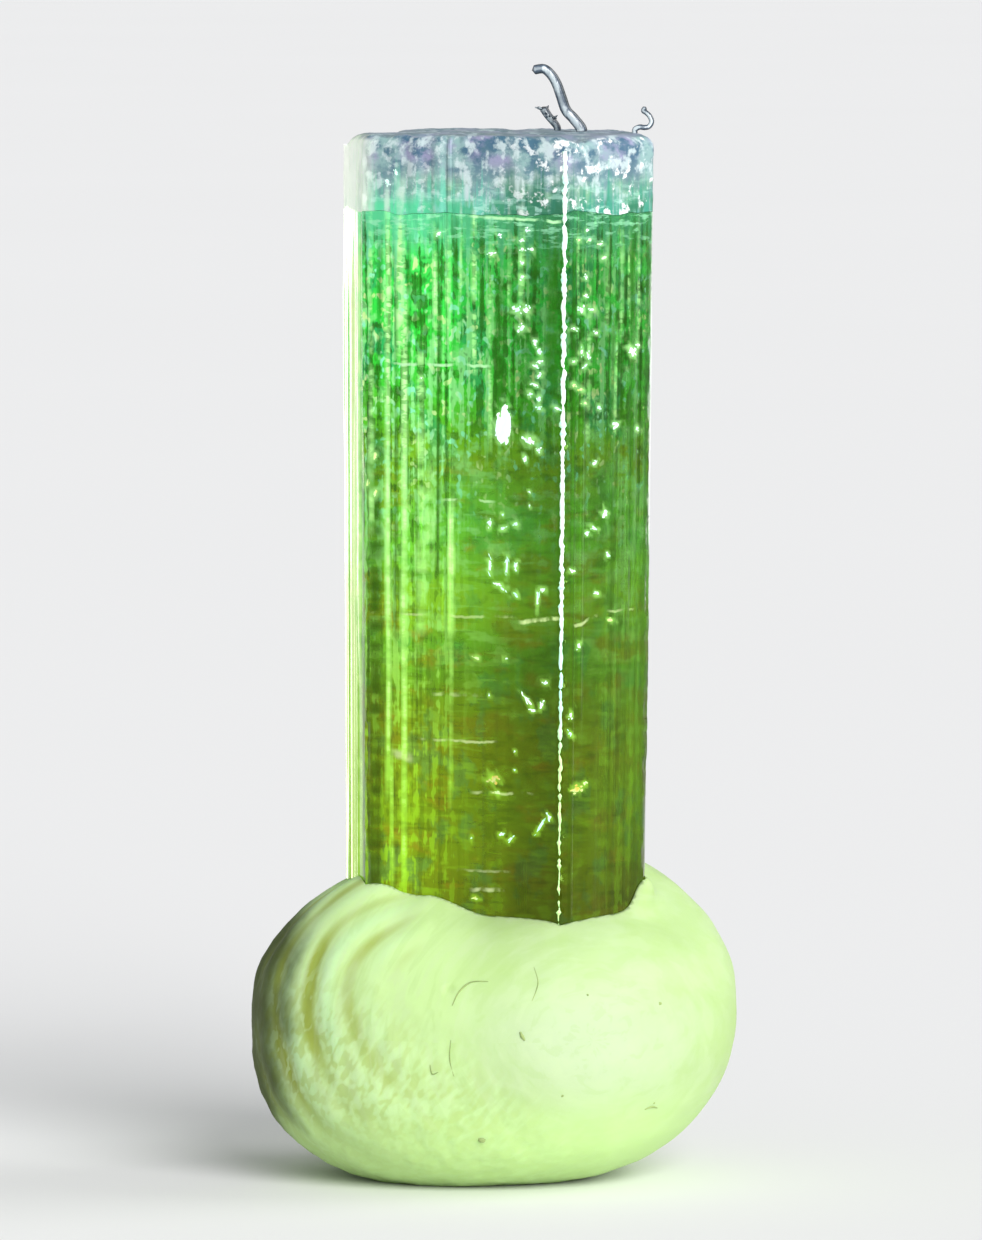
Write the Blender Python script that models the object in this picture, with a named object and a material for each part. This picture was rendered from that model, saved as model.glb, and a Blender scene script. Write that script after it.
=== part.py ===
"""A green tourmaline crystal stood upright in a ball of mounting putty, with three filaments on its end.

Metres, +Z up, and the front towards -Y. The origin is on the surface that the putty rests on, under the
middle of the putty. The crystal is one solid, the putty is a second with a socket pressed into it by the
crystal's foot, and each filament is a solid of its own.
"""

import math
import random

import bmesh
import bpy
from mathutils import Vector, noise

MM = 0.001
LEFT = Vector((-1, 0, 0))

# The crystal's ends, and how it stands: it narrows and leans a little towards its foot.
CRYSTAL_TOP = 11.36 * MM
CRYSTAL_FOOT = 1.45 * MM
CRYSTAL_TAPER = 0.0042 / MM
CRYSTAL_LEAN = 0.0048
PRISM_LEVELS = 27

# The six-sided prism, from its sharp front edge round by the left. Each turn is 60 degrees, so the last two
# sides follow from the first four.
FRONT_EDGE = Vector((0.79, -1.60)) * MM
FIRST_SIDE_TURN = math.radians(20)
CORNER_TURN = math.radians(60)
FRONT_LEFT_SIDE = 2.32 * MM
LEFT_SIDE = 1.44 * MM
BACK_LEFT_SIDE = 1.64 * MM
BACK_SIDE = 1.90 * MM
SIDE_BULGE = 0.022

# Growth ribs that run the length of the prism, and the chips along its edges.
RIB_PITCH = 0.23 * MM
RIB_DEPTH = 0.032 * MM
EDGE_WIDTH = 0.06 * MM
CHIP_DEPTH = 0.045 * MM

# The crystal's ends: a worn round rim, lowest at the left corner, an etched, pitted top, and a rough foot.
RIM_ROUNDING = 0.15 * MM
WORN_CORNER_DROP = 0.13 * MM
WORN_CORNER_REACH = 1.1 * MM
TOP_PITS = 0.05 * MM
FOOT_RELIEF = 0.12 * MM
RELIEF_PITCH = 0.35 * MM
END_RINGS = (0.66, 0.33)

# The putty: a squeezed ball, cut flat where it stands, and fuller at the bottom left. Its top rises over the
# waist by other amounts round the crystal, at these many degrees from the front towards the right.
PUTTY_HALF_WIDTH = 2.65 * MM
PUTTY_HALF_DEPTH = 2.25 * MM
PUTTY_WAIST = 1.88 * MM
PUTTY_WAIST_TILT = 0.09 * MM
PUTTY_RISES = (
    (-180, 1.80 * MM), (-90, 1.66 * MM), (-60, 1.80 * MM), (-30, 1.57 * MM), (0, 1.34 * MM), (25, 1.40 * MM),
    (60, 1.37 * MM), (90, 1.82 * MM), (180, 1.80 * MM),
)
PUTTY_FLATTENING = 0.10 * MM
PUTTY_TOP_FULLNESS = 2.1
PUTTY_FOOT_FULLNESS = 2.52
PUTTY_FOOT_FULLER_LEFT = 0.08
PUTTY_FOOT_FULLER_FRONT = 0.35
PUTTY_COLUMNS = 62
PUTTY_LUMPS = 0.05 * MM
PUTTY_LUMP_PITCH = 1.5 * MM

# Putty smeared up the crystal's right corner, as seen from the middle of the ball.
SMEAR_AT = Vector((0.70, -0.37, 0.61)).normalized()
SMEAR_REACH = math.radians(8.5)
SMEAR_HEIGHT = 0.32 * MM

# Finger ridges pressed into the left of the putty, as rings round a point on its front. The angles are seen
# from the middle of the ball.
RIDGE_POLE = Vector((-0.21, -0.96, 0.18)).normalized()
RIDGE_TURN = math.radians(12.9)
RIDGE_FIRST = math.radians(9.8)
RIDGE_LAST = math.radians(78)
RIDGE_REACH = math.radians(75)
RIDGE_HEIGHT = 0.034 * MM
RINGS_PER_RIDGE = 4
RINGS_BEHIND = 9

# The clearance between the crystal and its socket, and between a filament's root and the crystal's top.
SOCKET_GAP = 0.02 * MM
ROOT_GAP = 0.01 * MM

# The filaments: radius at the root, radius at the tip, then the route as distances right and back from the
# origin and up from the crystal's top, all in millimetres.
CURLED_FILAMENT = (0.062, 0.052, (
    (0.95, 0.30, 0.00), (0.94, 0.30, 0.04), (0.86, 0.29, 0.14), (0.78, 0.28, 0.23), (0.73, 0.27, 0.37),
    (0.68, 0.26, 0.51), (0.62, 0.25, 0.61), (0.54, 0.24, 0.675), (0.44, 0.24, 0.665),
))
SHORT_FILAMENT = (0.038, 0.046, (
    (0.69, 0.55, 0.00), (0.685, 0.55, 0.04), (0.64, 0.55, 0.10), (0.59, 0.55, 0.16), (0.54, 0.55, 0.235),
))
HOOKED_FILAMENT = (0.030, 0.026, (
    (1.52, -0.45, 0.00), (1.52, -0.45, 0.04), (1.57, -0.45, 0.065), (1.62, -0.45, 0.06), (1.67, -0.44, 0.07),
    (1.70, -0.43, 0.12), (1.68, -0.42, 0.18), (1.64, -0.41, 0.22), (1.61, -0.40, 0.24), (1.63, -0.40, 0.27),
))
FILAMENT_SIDES = 8

GREEN = (0.09, 0.42, 0.05)
PALE_GREEN_PUTTY = (0.66, 0.86, 0.42)
CLEAR_GREY = (0.42, 0.47, 0.50)


def material(name, colour, roughness, transmission=0.0):
    """A Principled material of one colour."""
    made = bpy.data.materials.new(name)
    made.use_nodes = True
    shader = made.node_tree.nodes["Principled BSDF"]
    shader.inputs["Base Color"].default_value = (*colour, 1.0)
    shader.inputs["Roughness"].default_value = roughness
    shader.inputs["Metallic"].default_value = 0.0
    shader.inputs["Transmission Weight"].default_value = transmission
    made.diffuse_color = (*colour, 1.0)
    return made


def placed(name, mesh, finish):
    """A new object of this mesh, with its material."""
    made = bpy.data.objects.new(name, mesh)
    mesh.materials.append(finish)
    bpy.context.scene.collection.objects.link(made)
    return made


def lofted(name, rings, first_tip, last_tip):
    """A closed mesh through rings of equally many points, from a tip under the first to one over the last."""
    bm = bmesh.new()
    loops = [[bm.verts.new(point) for point in ring] for ring in rings]
    count = len(loops[0])
    for lower, upper in zip(loops, loops[1:]):
        for i in range(count):
            j = (i + 1) % count
            bm.faces.new((lower[i], lower[j], upper[j], upper[i]))
    for loop, tip, turn in ((loops[0], first_tip, -1), (loops[-1], last_tip, 1)):
        point = bm.verts.new(tip)
        for i in range(count):
            j = (i + 1) % count
            bm.faces.new((loop[i], loop[j], point)[::turn])
    bmesh.ops.recalc_face_normals(bm, faces=bm.faces)
    mesh = bpy.data.meshes.new(name)
    bm.to_mesh(mesh)
    bm.free()
    return mesh


# ---------------------------------------------------------------- the crystal


def prism_sides():
    """The six sides' lengths, from the front edge round by the left."""
    right_back = FRONT_LEFT_SIDE + LEFT_SIDE - BACK_SIDE
    front_right = LEFT_SIDE + BACK_LEFT_SIDE - right_back
    return FRONT_LEFT_SIDE, LEFT_SIDE, BACK_LEFT_SIDE, BACK_SIDE, right_back, front_right


def prism_corners():
    """The prism's six corners at its top, from the front edge round by the left."""
    corner = FRONT_EDGE.copy()
    heading = math.pi - FIRST_SIDE_TURN
    corners = []
    for length in prism_sides():
        corners.append(corner)
        corner = corner + Vector((math.cos(heading), math.sin(heading))) * length
        heading -= CORNER_TURN
    return corners


def prism_outline():
    """The prism's outline at its top, as (point, outward direction, rib height, whether it is a corner)."""
    draw = random.Random(11)
    outline = []
    heading = math.pi - FIRST_SIDE_TURN
    for corner, length in zip(prism_corners(), prism_sides()):
        along = Vector((math.cos(heading), math.sin(heading)))
        outward = Vector((-along.y, along.x))
        ribs = max(4, round((length - 2 * EDGE_WIDTH) / RIB_PITCH))
        between = [EDGE_WIDTH + (length - 2 * EDGE_WIDTH) * k / ribs for k in range(ribs + 1)]
        outline.append((corner, outward - along, 0.0, True))
        for k, travelled in enumerate(between):
            share = travelled / length
            bulge = 4 * SIDE_BULGE * length * share * (1 - share)
            rib = RIB_DEPTH * draw.uniform(0.1, 0.9) * (k % 2)
            outline.append((corner + along * travelled + outward * bulge, outward, rib, False))
        heading -= CORNER_TURN
    return outline


def stood(point, height):
    """A point of the outline, moved as the prism narrows and leans towards its foot."""
    below = CRYSTAL_TOP - height
    narrowed = point * (1 - CRYSTAL_TAPER * below)
    return Vector((narrowed.x - CRYSTAL_LEAN * below, narrowed.y, height))


def prism_ring(outline, height, draw):
    """The prism's outline at this height, with its ribs and the chips out of its edges."""
    ring = []
    for point, outward, rib, is_corner in outline:
        if is_corner:
            out = -CHIP_DEPTH * draw.random() ** 2
        else:
            out = rib * (0.75 + 0.5 * noise.noise(Vector((point.x / MM, point.y / MM, height / MM * 0.35))))
        ring.append(stood(point + outward.normalized() * out, height))
    return ring


def crossed(rim, share, height):
    """A rim drawn in towards its middle, at this height."""
    middle = sum(rim, Vector()) / len(rim)
    return [Vector((*middle.lerp(point, share).xy, height)) for point in rim]


def relief(point):
    """A rough surface's height here, from 0 to about 1."""
    return max(0.0, 2 * noise.noise(Vector((point.x, point.y, 0.0)) / RELIEF_PITCH))


def worn(point):
    """How far the top's left corner is worn down here."""
    left_corner = min(prism_corners(), key=lambda corner: corner.x)
    near = max(0.0, 1 - (point.xy - left_corner).length / WORN_CORNER_REACH)
    return WORN_CORNER_DROP * near ** 2


def top_rings(rim):
    """The worn rim and the pitted top."""
    half_width = min(corner.length for corner in prism_corners())
    rings = [crossed(rim, 1 - 0.3 * RIM_ROUNDING / half_width, CRYSTAL_TOP - 0.3 * RIM_ROUNDING)]
    for share in (1 - RIM_ROUNDING / half_width, *END_RINGS):
        ring = crossed(rim, share, CRYSTAL_TOP)
        for point in ring:
            point.z -= TOP_PITS * relief(point)
        rings.append(ring)
    for ring in rings:
        for point in ring:
            point.z -= worn(point)
    return rings


def foot_rings(rim):
    """The rough break at the foot, from its middle out to the rim."""
    rings = []
    for share in reversed(END_RINGS):
        ring = crossed(rim, share, CRYSTAL_FOOT)
        for point in ring:
            point.z += FOOT_RELIEF * relief(point)
        rings.append(ring)
    return rings


def crystal(outline, finish):
    """The tourmaline: ribbed faces that bulge a little, chipped edges, a worn rim, a pitted top."""
    draw = random.Random(5)
    shoulder = CRYSTAL_TOP - RIM_ROUNDING
    ankle = CRYSTAL_FOOT + FOOT_RELIEF
    step = (shoulder - ankle) / (PRISM_LEVELS - 1)
    sides = [prism_ring(outline, ankle + k * step, draw) for k in range(PRISM_LEVELS)]
    rings = [*foot_rings(sides[0]), *sides, *top_rings(sides[-1])]
    tips = [sum(ring, Vector()) / len(ring) for ring in (rings[0], rings[-1])]
    return placed("tourmaline_crystal", lofted("tourmaline_crystal", rings, *tips), finish)


# ------------------------------------------------------------------ the putty


def rise_at(turn):
    """How far the ball rises over its waist, at this many degrees from the front towards the right."""
    for (start, low), (end, high) in zip(PUTTY_RISES, PUTTY_RISES[1:]):
        if turn <= end:
            share = (turn - start) / (end - start)
            return low + (high - low) * share ** 2 * (3 - 2 * share)
    return PUTTY_RISES[-1][1]


def squeezed(direction):
    """The point of the smooth squeezed ball in this direction from its middle."""
    wide = direction.x / PUTTY_HALF_WIDTH
    deep = direction.y / PUTTY_HALF_DEPTH
    across = math.hypot(wide, deep)
    side = wide / max(across, 1e-9)
    front = 1 - side ** 2
    if direction.z < 0:
        fullness = PUTTY_FOOT_FULLNESS - PUTTY_FOOT_FULLER_LEFT * side + PUTTY_FOOT_FULLER_FRONT * front
        rise = PUTTY_WAIST + PUTTY_FLATTENING
    else:
        fullness = PUTTY_TOP_FULLNESS
        rise = rise_at(math.degrees(math.atan2(wide, -deep)))
    reach = (across ** fullness + (abs(direction.z) / rise) ** fullness) ** (-1 / fullness)
    point = direction * reach
    tilt = PUTTY_WAIST_TILT * point.x / PUTTY_HALF_WIDTH
    return Vector((point.x, point.y, PUTTY_WAIST + tilt + point.z))


def ridge(turned, round_pole):
    """The height of the finger ridges at this angle from their pole, and at this one round it from the left."""
    along = max(0.0, 1 - (round_pole / RIDGE_REACH) ** 2)
    outwards = min(1.0, turned / (3 * RIDGE_TURN)) * (1 if turned < RIDGE_LAST else 0)
    return RIDGE_HEIGHT * along * outwards * math.cos(math.tau * (turned - RIDGE_FIRST) / RIDGE_TURN)


def pressed(direction, turned, round_pole):
    """A point of the putty's surface, with lumps, finger ridges and the smear at the right corner."""
    smooth = squeezed(direction)
    lumps = PUTTY_LUMPS * noise.noise(smooth / PUTTY_LUMP_PITCH + Vector((4.1, 0.0, 2.3)))
    smear = SMEAR_HEIGHT * math.exp(-(direction.angle(SMEAR_AT) / SMEAR_REACH) ** 2)
    return smooth + direction * (lumps + ridge(turned, round_pole) + smear)


def putty_rings():
    """Rings round the ridges' pole, close together over the ridges and further apart behind them."""
    step = RIDGE_TURN / RINGS_PER_RIDGE
    close = [RIDGE_FIRST / 2 + k * step for k in range(round((RIDGE_LAST - RIDGE_FIRST / 2) / step))]
    last = close[-1]
    turns = close + [last + (math.pi - last) * k / (RINGS_BEHIND + 1) for k in range(1, RINGS_BEHIND + 1)]
    left = (LEFT - RIDGE_POLE * LEFT.dot(RIDGE_POLE)).normalized()
    above = RIDGE_POLE.cross(left)
    rings = []
    for turned in turns:
        ring = []
        for k in range(PUTTY_COLUMNS):
            round_pole = math.tau * k / PUTTY_COLUMNS - math.pi
            outwards = left * math.cos(round_pole) + above * math.sin(round_pole)
            direction = RIDGE_POLE * math.cos(turned) + outwards * math.sin(turned)
            ring.append(pressed(direction, turned, round_pole))
        rings.append(ring)
    return rings


def cut_flat(mesh):
    """Cuts the ball off where it stands, and moves it so that the origin is under the middle of its box."""
    bm = bmesh.new()
    bm.from_mesh(mesh)
    everything = [*bm.verts, *bm.edges, *bm.faces]
    down = (0, 0, -1)
    cut = bmesh.ops.bisect_plane(bm, geom=everything, plane_co=(0, 0, 0), plane_no=down, clear_outer=True)
    rim = [piece for piece in cut["geom_cut"] if isinstance(piece, bmesh.types.BMEdge)]
    bmesh.ops.edgeloop_fill(bm, edges=rim)
    for axis in (0, 1):
        low = min(vert.co[axis] for vert in bm.verts)
        high = max(vert.co[axis] for vert in bm.verts)
        for vert in bm.verts:
            vert.co[axis] -= (low + high) / 2
    bmesh.ops.recalc_face_normals(bm, faces=bm.faces)
    bm.to_mesh(mesh)
    bm.free()


def socket_cutter(outline):
    """The crystal's foot with the socket's clearance, as a guide that cuts the putty."""
    rings = []
    for height in (CRYSTAL_FOOT - SOCKET_GAP, CRYSTAL_FOOT + 4 * MM):
        reach = [(point + outward.normalized() * (SOCKET_GAP + rib)) for point, outward, rib, _ in outline]
        rings.append([stood(point, height) for point in reach])
    middles = [sum(ring, Vector()) / len(ring) for ring in rings]
    made = bpy.data.objects.new("socket_cutter", lofted("socket_cutter", rings, *middles))
    bpy.context.scene.collection.objects.link(made)
    made.hide_render = True
    made.display_type = "WIRE"
    return made


def putty(outline, finish):
    """The ball of putty, with the socket that the crystal's foot fills."""
    mesh = lofted("putty_base", putty_rings(), squeezed(RIDGE_POLE), squeezed(-RIDGE_POLE))
    cut_flat(mesh)
    made = placed("putty_base", mesh, finish)
    cut = made.modifiers.new("socket", "BOOLEAN")
    cut.operation = "DIFFERENCE"
    cut.solver = "EXACT"
    cut.object = socket_cutter(outline)
    return made


# -------------------------------------------------------------- the filaments


def filament(name, shape, finish):
    """A round, tapering filament that stands on the crystal's top."""
    root, tip, route = shape
    curve = bpy.data.curves.new(name, "CURVE")
    curve.dimensions = "3D"
    curve.bevel_depth = root * MM
    curve.bevel_resolution = FILAMENT_SIDES // 4
    curve.use_fill_caps = True
    spline = curve.splines.new("POLY")
    spline.points.add(len(route) - 1)
    for k, (right, back, up) in enumerate(route):
        place = Vector((right, back, up)) * MM
        place.z += CRYSTAL_TOP + ROOT_GAP
        spline.points[k].co = (*place, 1.0)
        spline.points[k].radius = 1 + (tip / root - 1) * k / (len(route) - 1)
    return placed(name, curve, finish)


def clear_scene():
    for existing in list(bpy.data.objects):
        bpy.data.objects.remove(existing)


def main():
    clear_scene()
    outline = prism_outline()
    clear = material("filament", CLEAR_GREY, 0.2, transmission=0.6)
    crystal(outline, material("tourmaline", GREEN, 0.08, transmission=0.9))
    putty(outline, material("putty", PALE_GREEN_PUTTY, 0.55))
    filament("curled_filament", CURLED_FILAMENT, clear)
    filament("short_filament", SHORT_FILAMENT, clear)
    filament("hooked_filament", HOOKED_FILAMENT, clear)


main()
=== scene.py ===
"""Dresses a tourmaline crystal that stands in a ball of mounting putty: glass, putty, filaments and lint.

Laid out as an add-on and run as a script. Everything is in metres, +Z up, with the front towards -Y, in the
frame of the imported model. Positions on the crystal are given by how far round it they lie from its sharp
front edge, to the left or (negative) to the right, and by their height.
"""

import math
import random

import bmesh
import bpy
from mathutils import Matrix, Vector, noise
from mathutils.bvhtree import BVHTree


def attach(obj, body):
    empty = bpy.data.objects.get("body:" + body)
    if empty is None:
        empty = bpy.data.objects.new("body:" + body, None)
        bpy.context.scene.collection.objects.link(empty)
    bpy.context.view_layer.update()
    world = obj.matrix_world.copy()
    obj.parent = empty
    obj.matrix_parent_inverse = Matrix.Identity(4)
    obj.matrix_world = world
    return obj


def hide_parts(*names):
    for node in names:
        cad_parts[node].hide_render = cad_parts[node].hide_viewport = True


bl_info = {
    "name": "Tourmaline on putty",
    "version": (1, 0, 0),
    "blender": (4, 5, 0),
    "location": "View3D > Sidebar > Specimen",
    "description": "Builds a tourmaline crystal on its ball of mounting putty, piece by piece",
    "category": "Add Mesh",
}

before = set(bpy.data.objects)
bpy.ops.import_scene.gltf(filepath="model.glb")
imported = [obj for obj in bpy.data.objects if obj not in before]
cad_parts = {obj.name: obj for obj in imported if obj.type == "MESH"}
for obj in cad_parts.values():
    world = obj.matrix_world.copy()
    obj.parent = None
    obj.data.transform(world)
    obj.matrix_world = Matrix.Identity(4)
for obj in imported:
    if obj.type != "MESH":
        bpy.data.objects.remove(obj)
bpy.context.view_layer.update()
BODY = "root"
MM = 0.001


# ------------------------------------------------------------------ settings


def length(name, description, default):
    """A length property, in metres."""
    return bpy.props.FloatProperty(
        name=name, description=description, default=default, unit="LENGTH", precision=6
    )


def angle(name, description, degrees):
    """An angle property, kept in radians."""
    return bpy.props.FloatProperty(
        name=name, description=description, default=math.radians(degrees), unit="ROTATION"
    )


def colour(name, description, default):
    """A colour property."""
    return bpy.props.FloatVectorProperty(
        name=name, description=description, default=default, subtype="COLOR", size=3, min=0, max=1
    )


class CrystalSettings(bpy.types.PropertyGroup):
    """The sizes and colours of the crystal."""

    top: length("Top", "Height of the crystal's top", 11.36 * MM)
    foot: length("Foot", "Height of the crystal's foot, inside the putty", 1.45 * MM)
    front_left: length("Front left side", "Width of the broad side at the front left", 2.32 * MM)
    left: length("Left side", "Width of the side at the left", 1.44 * MM)
    back_left: length("Back left side", "Width of the side at the back left", 1.64 * MM)
    back: length("Back side", "Width of the side at the back", 1.90 * MM)
    turn: angle("Turn", "How far the front left side is turned from the front", 20)
    rib_depth: length("Rib depth", "How far the growth ribs stand out", 0.022 * MM)
    chip_depth: length("Chip depth", "How far the chips cut the edges back", 0.040 * MM)
    cap_border: length("Cap border", "Height where the frosted cap begins", 10.52 * MM)
    olive: colour("Olive", "Colour of the brown clouds", (0.26, 0.27, 0.008))
    pale_top: colour("Pale top", "Colour of the pale streaks at the top", (0.36, 0.98, 0.36))
    pale_foot: colour("Pale foot", "Colour of the pale streaks at the foot", (0.38, 0.72, 0.02))
    dark_top: colour("Dark top", "Colour of the dark streaks at the top", (0.006, 0.10, 0.003))
    dark_foot: colour("Dark foot", "Colour of the dark streaks at the foot", (0.05, 0.08, 0.001))
    amber: colour("Amber", "Colour of the warmest patches", (0.42, 0.28, 0.01))
    cap: colour("Cap", "Colour of the frosted cap", (0.29, 0.47, 0.46))


class PuttySettings(bpy.types.PropertyGroup):
    """The sizes and colours of the putty."""

    half_width: length("Half width", "Half of the ball's width", 2.65 * MM)
    half_depth: length("Half depth", "Half of the ball's depth", 2.25 * MM)
    waist: length("Waist", "Height of the ball's widest level", 1.88 * MM)
    ridge_height: length("Ridge height", "Height of the finger ridges", 0.020 * MM)
    lime: colour("Lime", "Colour of the smooth putty", (0.38, 0.54, 0.205))
    cream: colour("Cream", "Colour of the palest putty", (0.42, 0.56, 0.28))
    # The crest and valley colours are painted light and shade on the finger ridges.
    crest_highlight: colour("Mint", "Colour of the ridges' crests", (0.54, 0.80, 0.42))
    valley_shade: colour("Moss", "Colour of the ridges' valleys", (0.30, 0.36, 0.03))
    # The shade colour is painted shade at the putty's left edge, which turns away from the light.
    shade: colour("Shade", "Colour of the dull left edge", (0.055, 0.075, 0.008))


class FilamentSettings(bpy.types.PropertyGroup):
    """The colours of the filaments and the lint."""

    steel: colour("Steel", "Colour of the filaments", (0.10, 0.14, 0.20))
    # The pale colour is a painted highlight along each filament's middle.
    pale: colour("Pale", "Colour of the filaments' cores", (0.75, 0.85, 0.88))
    lint: colour("Lint", "Colour of the fibres on the putty", (0.22, 0.30, 0.10))


class StageSettings(bpy.types.PropertyGroup):
    """The floor, the lights and the camera."""

    camera_distance: length("Camera distance", "From the camera to the crystal's axis", 110 * MM)
    camera_height: angle("Camera height", "How far above the horizon the camera stands", 4.5)
    picture_height: length("Picture height", "Height of the view at the crystal's axis", 13.48 * MM)
    floor: colour("Floor", "Colour of the floor", (0.80, 0.80, 0.795))


# --------------------------------------------------------------- mesh helpers


def new_object(name, data):
    """A new object in the scene."""
    made = bpy.data.objects.new(name, data)
    bpy.context.scene.collection.objects.link(made)
    return made


def mesh_object(name, bm):
    """A new mesh object in the scene, from this bmesh, which is freed."""
    mesh = bpy.data.meshes.new(name)
    bm.to_mesh(mesh)
    bm.free()
    return new_object(name, mesh)


def new_piece(name, bm, finish, sharp_from):
    """A piece that rides on the specimen, smooth but for edges that turn by more than these degrees."""
    made = mesh_object(name, bm)
    made.data.shade_smooth()
    made.data.set_sharp_from_angle(angle=math.radians(sharp_from))
    made.data.materials.append(finish)
    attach(made, BODY)
    return made


def middle_of(points):
    """The mean of these points."""
    return sum(points, Vector()) / len(points)


def turns(count):
    """This many equal turns in a round, in radians."""
    return [math.tau * k / count for k in range(count)]


def skin_over(bm, loops, tips=None):
    """Quads between these loops of vertices, and a fan over each end, to its tip or else its middle."""
    count = len(loops[0])
    for lower, upper in zip(loops, loops[1:]):
        for i in range(count):
            j = (i + 1) % count
            bm.faces.new((lower[i], lower[j], upper[j], upper[i]))
    ends = (loops[0], loops[-1])
    tips = tips or [middle_of([vert.co for vert in loop]) for loop in ends]
    for loop, tip, order in zip(ends, tips, (-1, 1)):
        point = bm.verts.new(tip)
        for i in range(count):
            bm.faces.new((loop[i], loop[(i + 1) % count], point)[::order])


# -------------------------------------------------------------- node helpers


class Nodes:
    """A short way to write a node tree: most calls add nodes and give an output socket."""

    def __init__(self, tree):
        self.tree = tree

    def link(self, value, socket):
        """Feeds a socket: links it to this output, or sets this plain value."""
        if isinstance(value, bpy.types.NodeSocket):
            self.tree.links.new(value, socket)
        else:
            socket.default_value = value

    def add(self, kind, inputs=None, output=0, **options):
        node = self.tree.nodes.new(kind)
        for option, value in options.items():
            setattr(node, option, value)
        for key, value in (inputs or {}).items():
            self.link(value, node.inputs[key])
        return node.outputs[output]

    def math(self, operation, first, second=0.0):
        return self.add("ShaderNodeMath", {0: first, 1: second}, operation=operation)

    def plus(self, first, second):
        return self.math("ADD", first, second)

    def minus(self, first, second):
        return self.math("SUBTRACT", first, second)

    def most(self, first, second):
        return self.math("MAXIMUM", first, second)

    def times(self, product, *others):
        """The product of these values."""
        for other in others:
            product = self.math("MULTIPLY", product, other)
        return product

    def swing(self, value, size):
        """How far a noise lies from its middle, times this size."""
        return self.times(self.minus(value, 0.5), size)

    def mix(self, factor, first, second, blend="MIX"):
        """Mixes two colours."""
        inputs = {0: factor}
        for key, shade in ((6, first), (7, second)):
            inputs[key] = shade if isinstance(shade, bpy.types.NodeSocket) else (*shade, 1.0)
        return self.add("ShaderNodeMix", inputs, output=2, data_type="RGBA", blend_type=blend)

    def layer(self, base, shade, *masks):
        """This shade over the base, as strongly as the product of the masks."""
        return self.mix(self.times(*masks), base, shade)

    def remap(self, value, low, high, to_low=0.0, to_high=1.0):
        """Maps low..high smoothly to to_low..to_high, and keeps to those ends."""
        inputs = {"Value": value, "From Min": low, "From Max": high, "To Min": to_low, "To Max": to_high}
        return self.add("ShaderNodeMapRange", inputs, interpolation_type="SMOOTHSTEP")

    def noise(self, vector, scale, detail=3.0, roughness=0.5, distortion=0.0):
        inputs = {
            "Vector": vector, "Scale": scale, "Detail": detail, "Roughness": roughness,
            "Distortion": distortion,
        }
        return self.add("ShaderNodeTexNoise", inputs)

    def scaled(self, vector, factors):
        inputs = {0: vector, 1: Vector(factors)}
        return self.add("ShaderNodeVectorMath", inputs, operation="MULTIPLY")

    def streaky(self, growth, across, up, **options):
        """A noise with about this many cells to the millimetre across and up the crystal."""
        return self.noise(self.scaled(growth, (across, up, 1.0)), 1.0, **options)

    def spots(self, place, scale, threshold, softness):
        """The mottle group's spots."""
        inputs = {"Place": place, "Scale": scale, "Threshold": threshold, "Softness": softness}
        return self.group("mottle", inputs)

    def split(self, vector):
        """The X, Y and Z of a vector."""
        node = self.tree.nodes.new("ShaderNodeSeparateXYZ")
        self.link(vector, node.inputs[0])
        return node.outputs

    def attribute(self, name):
        """A value that the mesh carries."""
        return self.add("ShaderNodeAttribute", output=2, attribute_name=name)

    def spot(self):
        """The place on the object, in metres."""
        return self.add("ShaderNodeTexCoord", output=3)

    def group(self, name, inputs):
        """The first output of a shader group, which is built when it is first needed."""
        if name not in GROUPS:
            GROUPS[name] = GROUP_MAKERS[name]()
        return self.add("ShaderNodeGroup", inputs, node_tree=GROUPS[name])

    def bump(self, height, strength, distance):
        return self.add("ShaderNodeBump", {"Strength": strength, "Distance": distance, "Height": height})


FLOAT = "NodeSocketFloat"
VECTOR = "NodeSocketVector"
COLOUR = "NodeSocketColor"


def new_group(name, inputs, label, kind):
    """A shader node group. Gives its nodes, its input sockets by name and the socket of its result."""
    tree = bpy.data.node_groups.new(name, "ShaderNodeTree")
    for given, given_kind, *default in inputs:
        socket = tree.interface.new_socket(name=given, in_out="INPUT", socket_type=given_kind)
        if default:
            socket.default_value = default[0]
    tree.interface.new_socket(name=label, in_out="OUTPUT", socket_type=kind)
    start = tree.nodes.new("NodeGroupInput")
    end = tree.nodes.new("NodeGroupOutput")
    return Nodes(tree), start.outputs, end.inputs[0]


def new_material(name, **plain):
    """A material with a Principled shader, whose plain sockets are set by label."""
    made = bpy.data.materials.new(name)
    made.use_nodes = True
    shader = made.node_tree.nodes["Principled BSDF"]
    for label, value in plain.items():
        shader.inputs[label.replace("_", " ")].default_value = value
    return made, Nodes(made.node_tree), shader


# ------------------------------------------------------------ shader groups


def crack_group():
    """A fine line across the crystal, between two places and two heights."""
    inputs = (
        ("Growth", VECTOR), ("Wobble", FLOAT, 0.5), ("Start", FLOAT, 0.0), ("End", FLOAT, 1.0),
        ("Start Height", FLOAT, 6.0), ("End Height", FLOAT, 6.0), ("Half Width", FLOAT, 0.02),
        ("Strength", FLOAT, 1.0),
    )
    n, given, mask = new_group("crack", inputs, "Mask", FLOAT)
    across, height, _ = n.split(given["Growth"])
    heights = {
        "Value": across, "From Min": given["Start"], "From Max": given["End"],
        "To Min": given["Start Height"], "To Max": given["End Height"],
    }
    centre = n.add("ShaderNodeMapRange", heights)
    off = n.minus(n.plus(height, n.swing(given["Wobble"], 0.09)), centre)
    line = n.remap(n.math("DIVIDE", n.math("ABSOLUTE", off), given["Half Width"]), 0.3, 1.3, 1.0, 0.0)
    inside = n.math("MINIMUM", n.minus(across, given["Start"]), n.minus(given["End"], across))
    ends = n.remap(inside, -0.04, 0.08)
    faint = n.remap(given["Wobble"], 0.40, 0.58)
    n.link(n.times(line, ends, faint, given["Strength"]), mask)
    return n.tree


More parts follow.
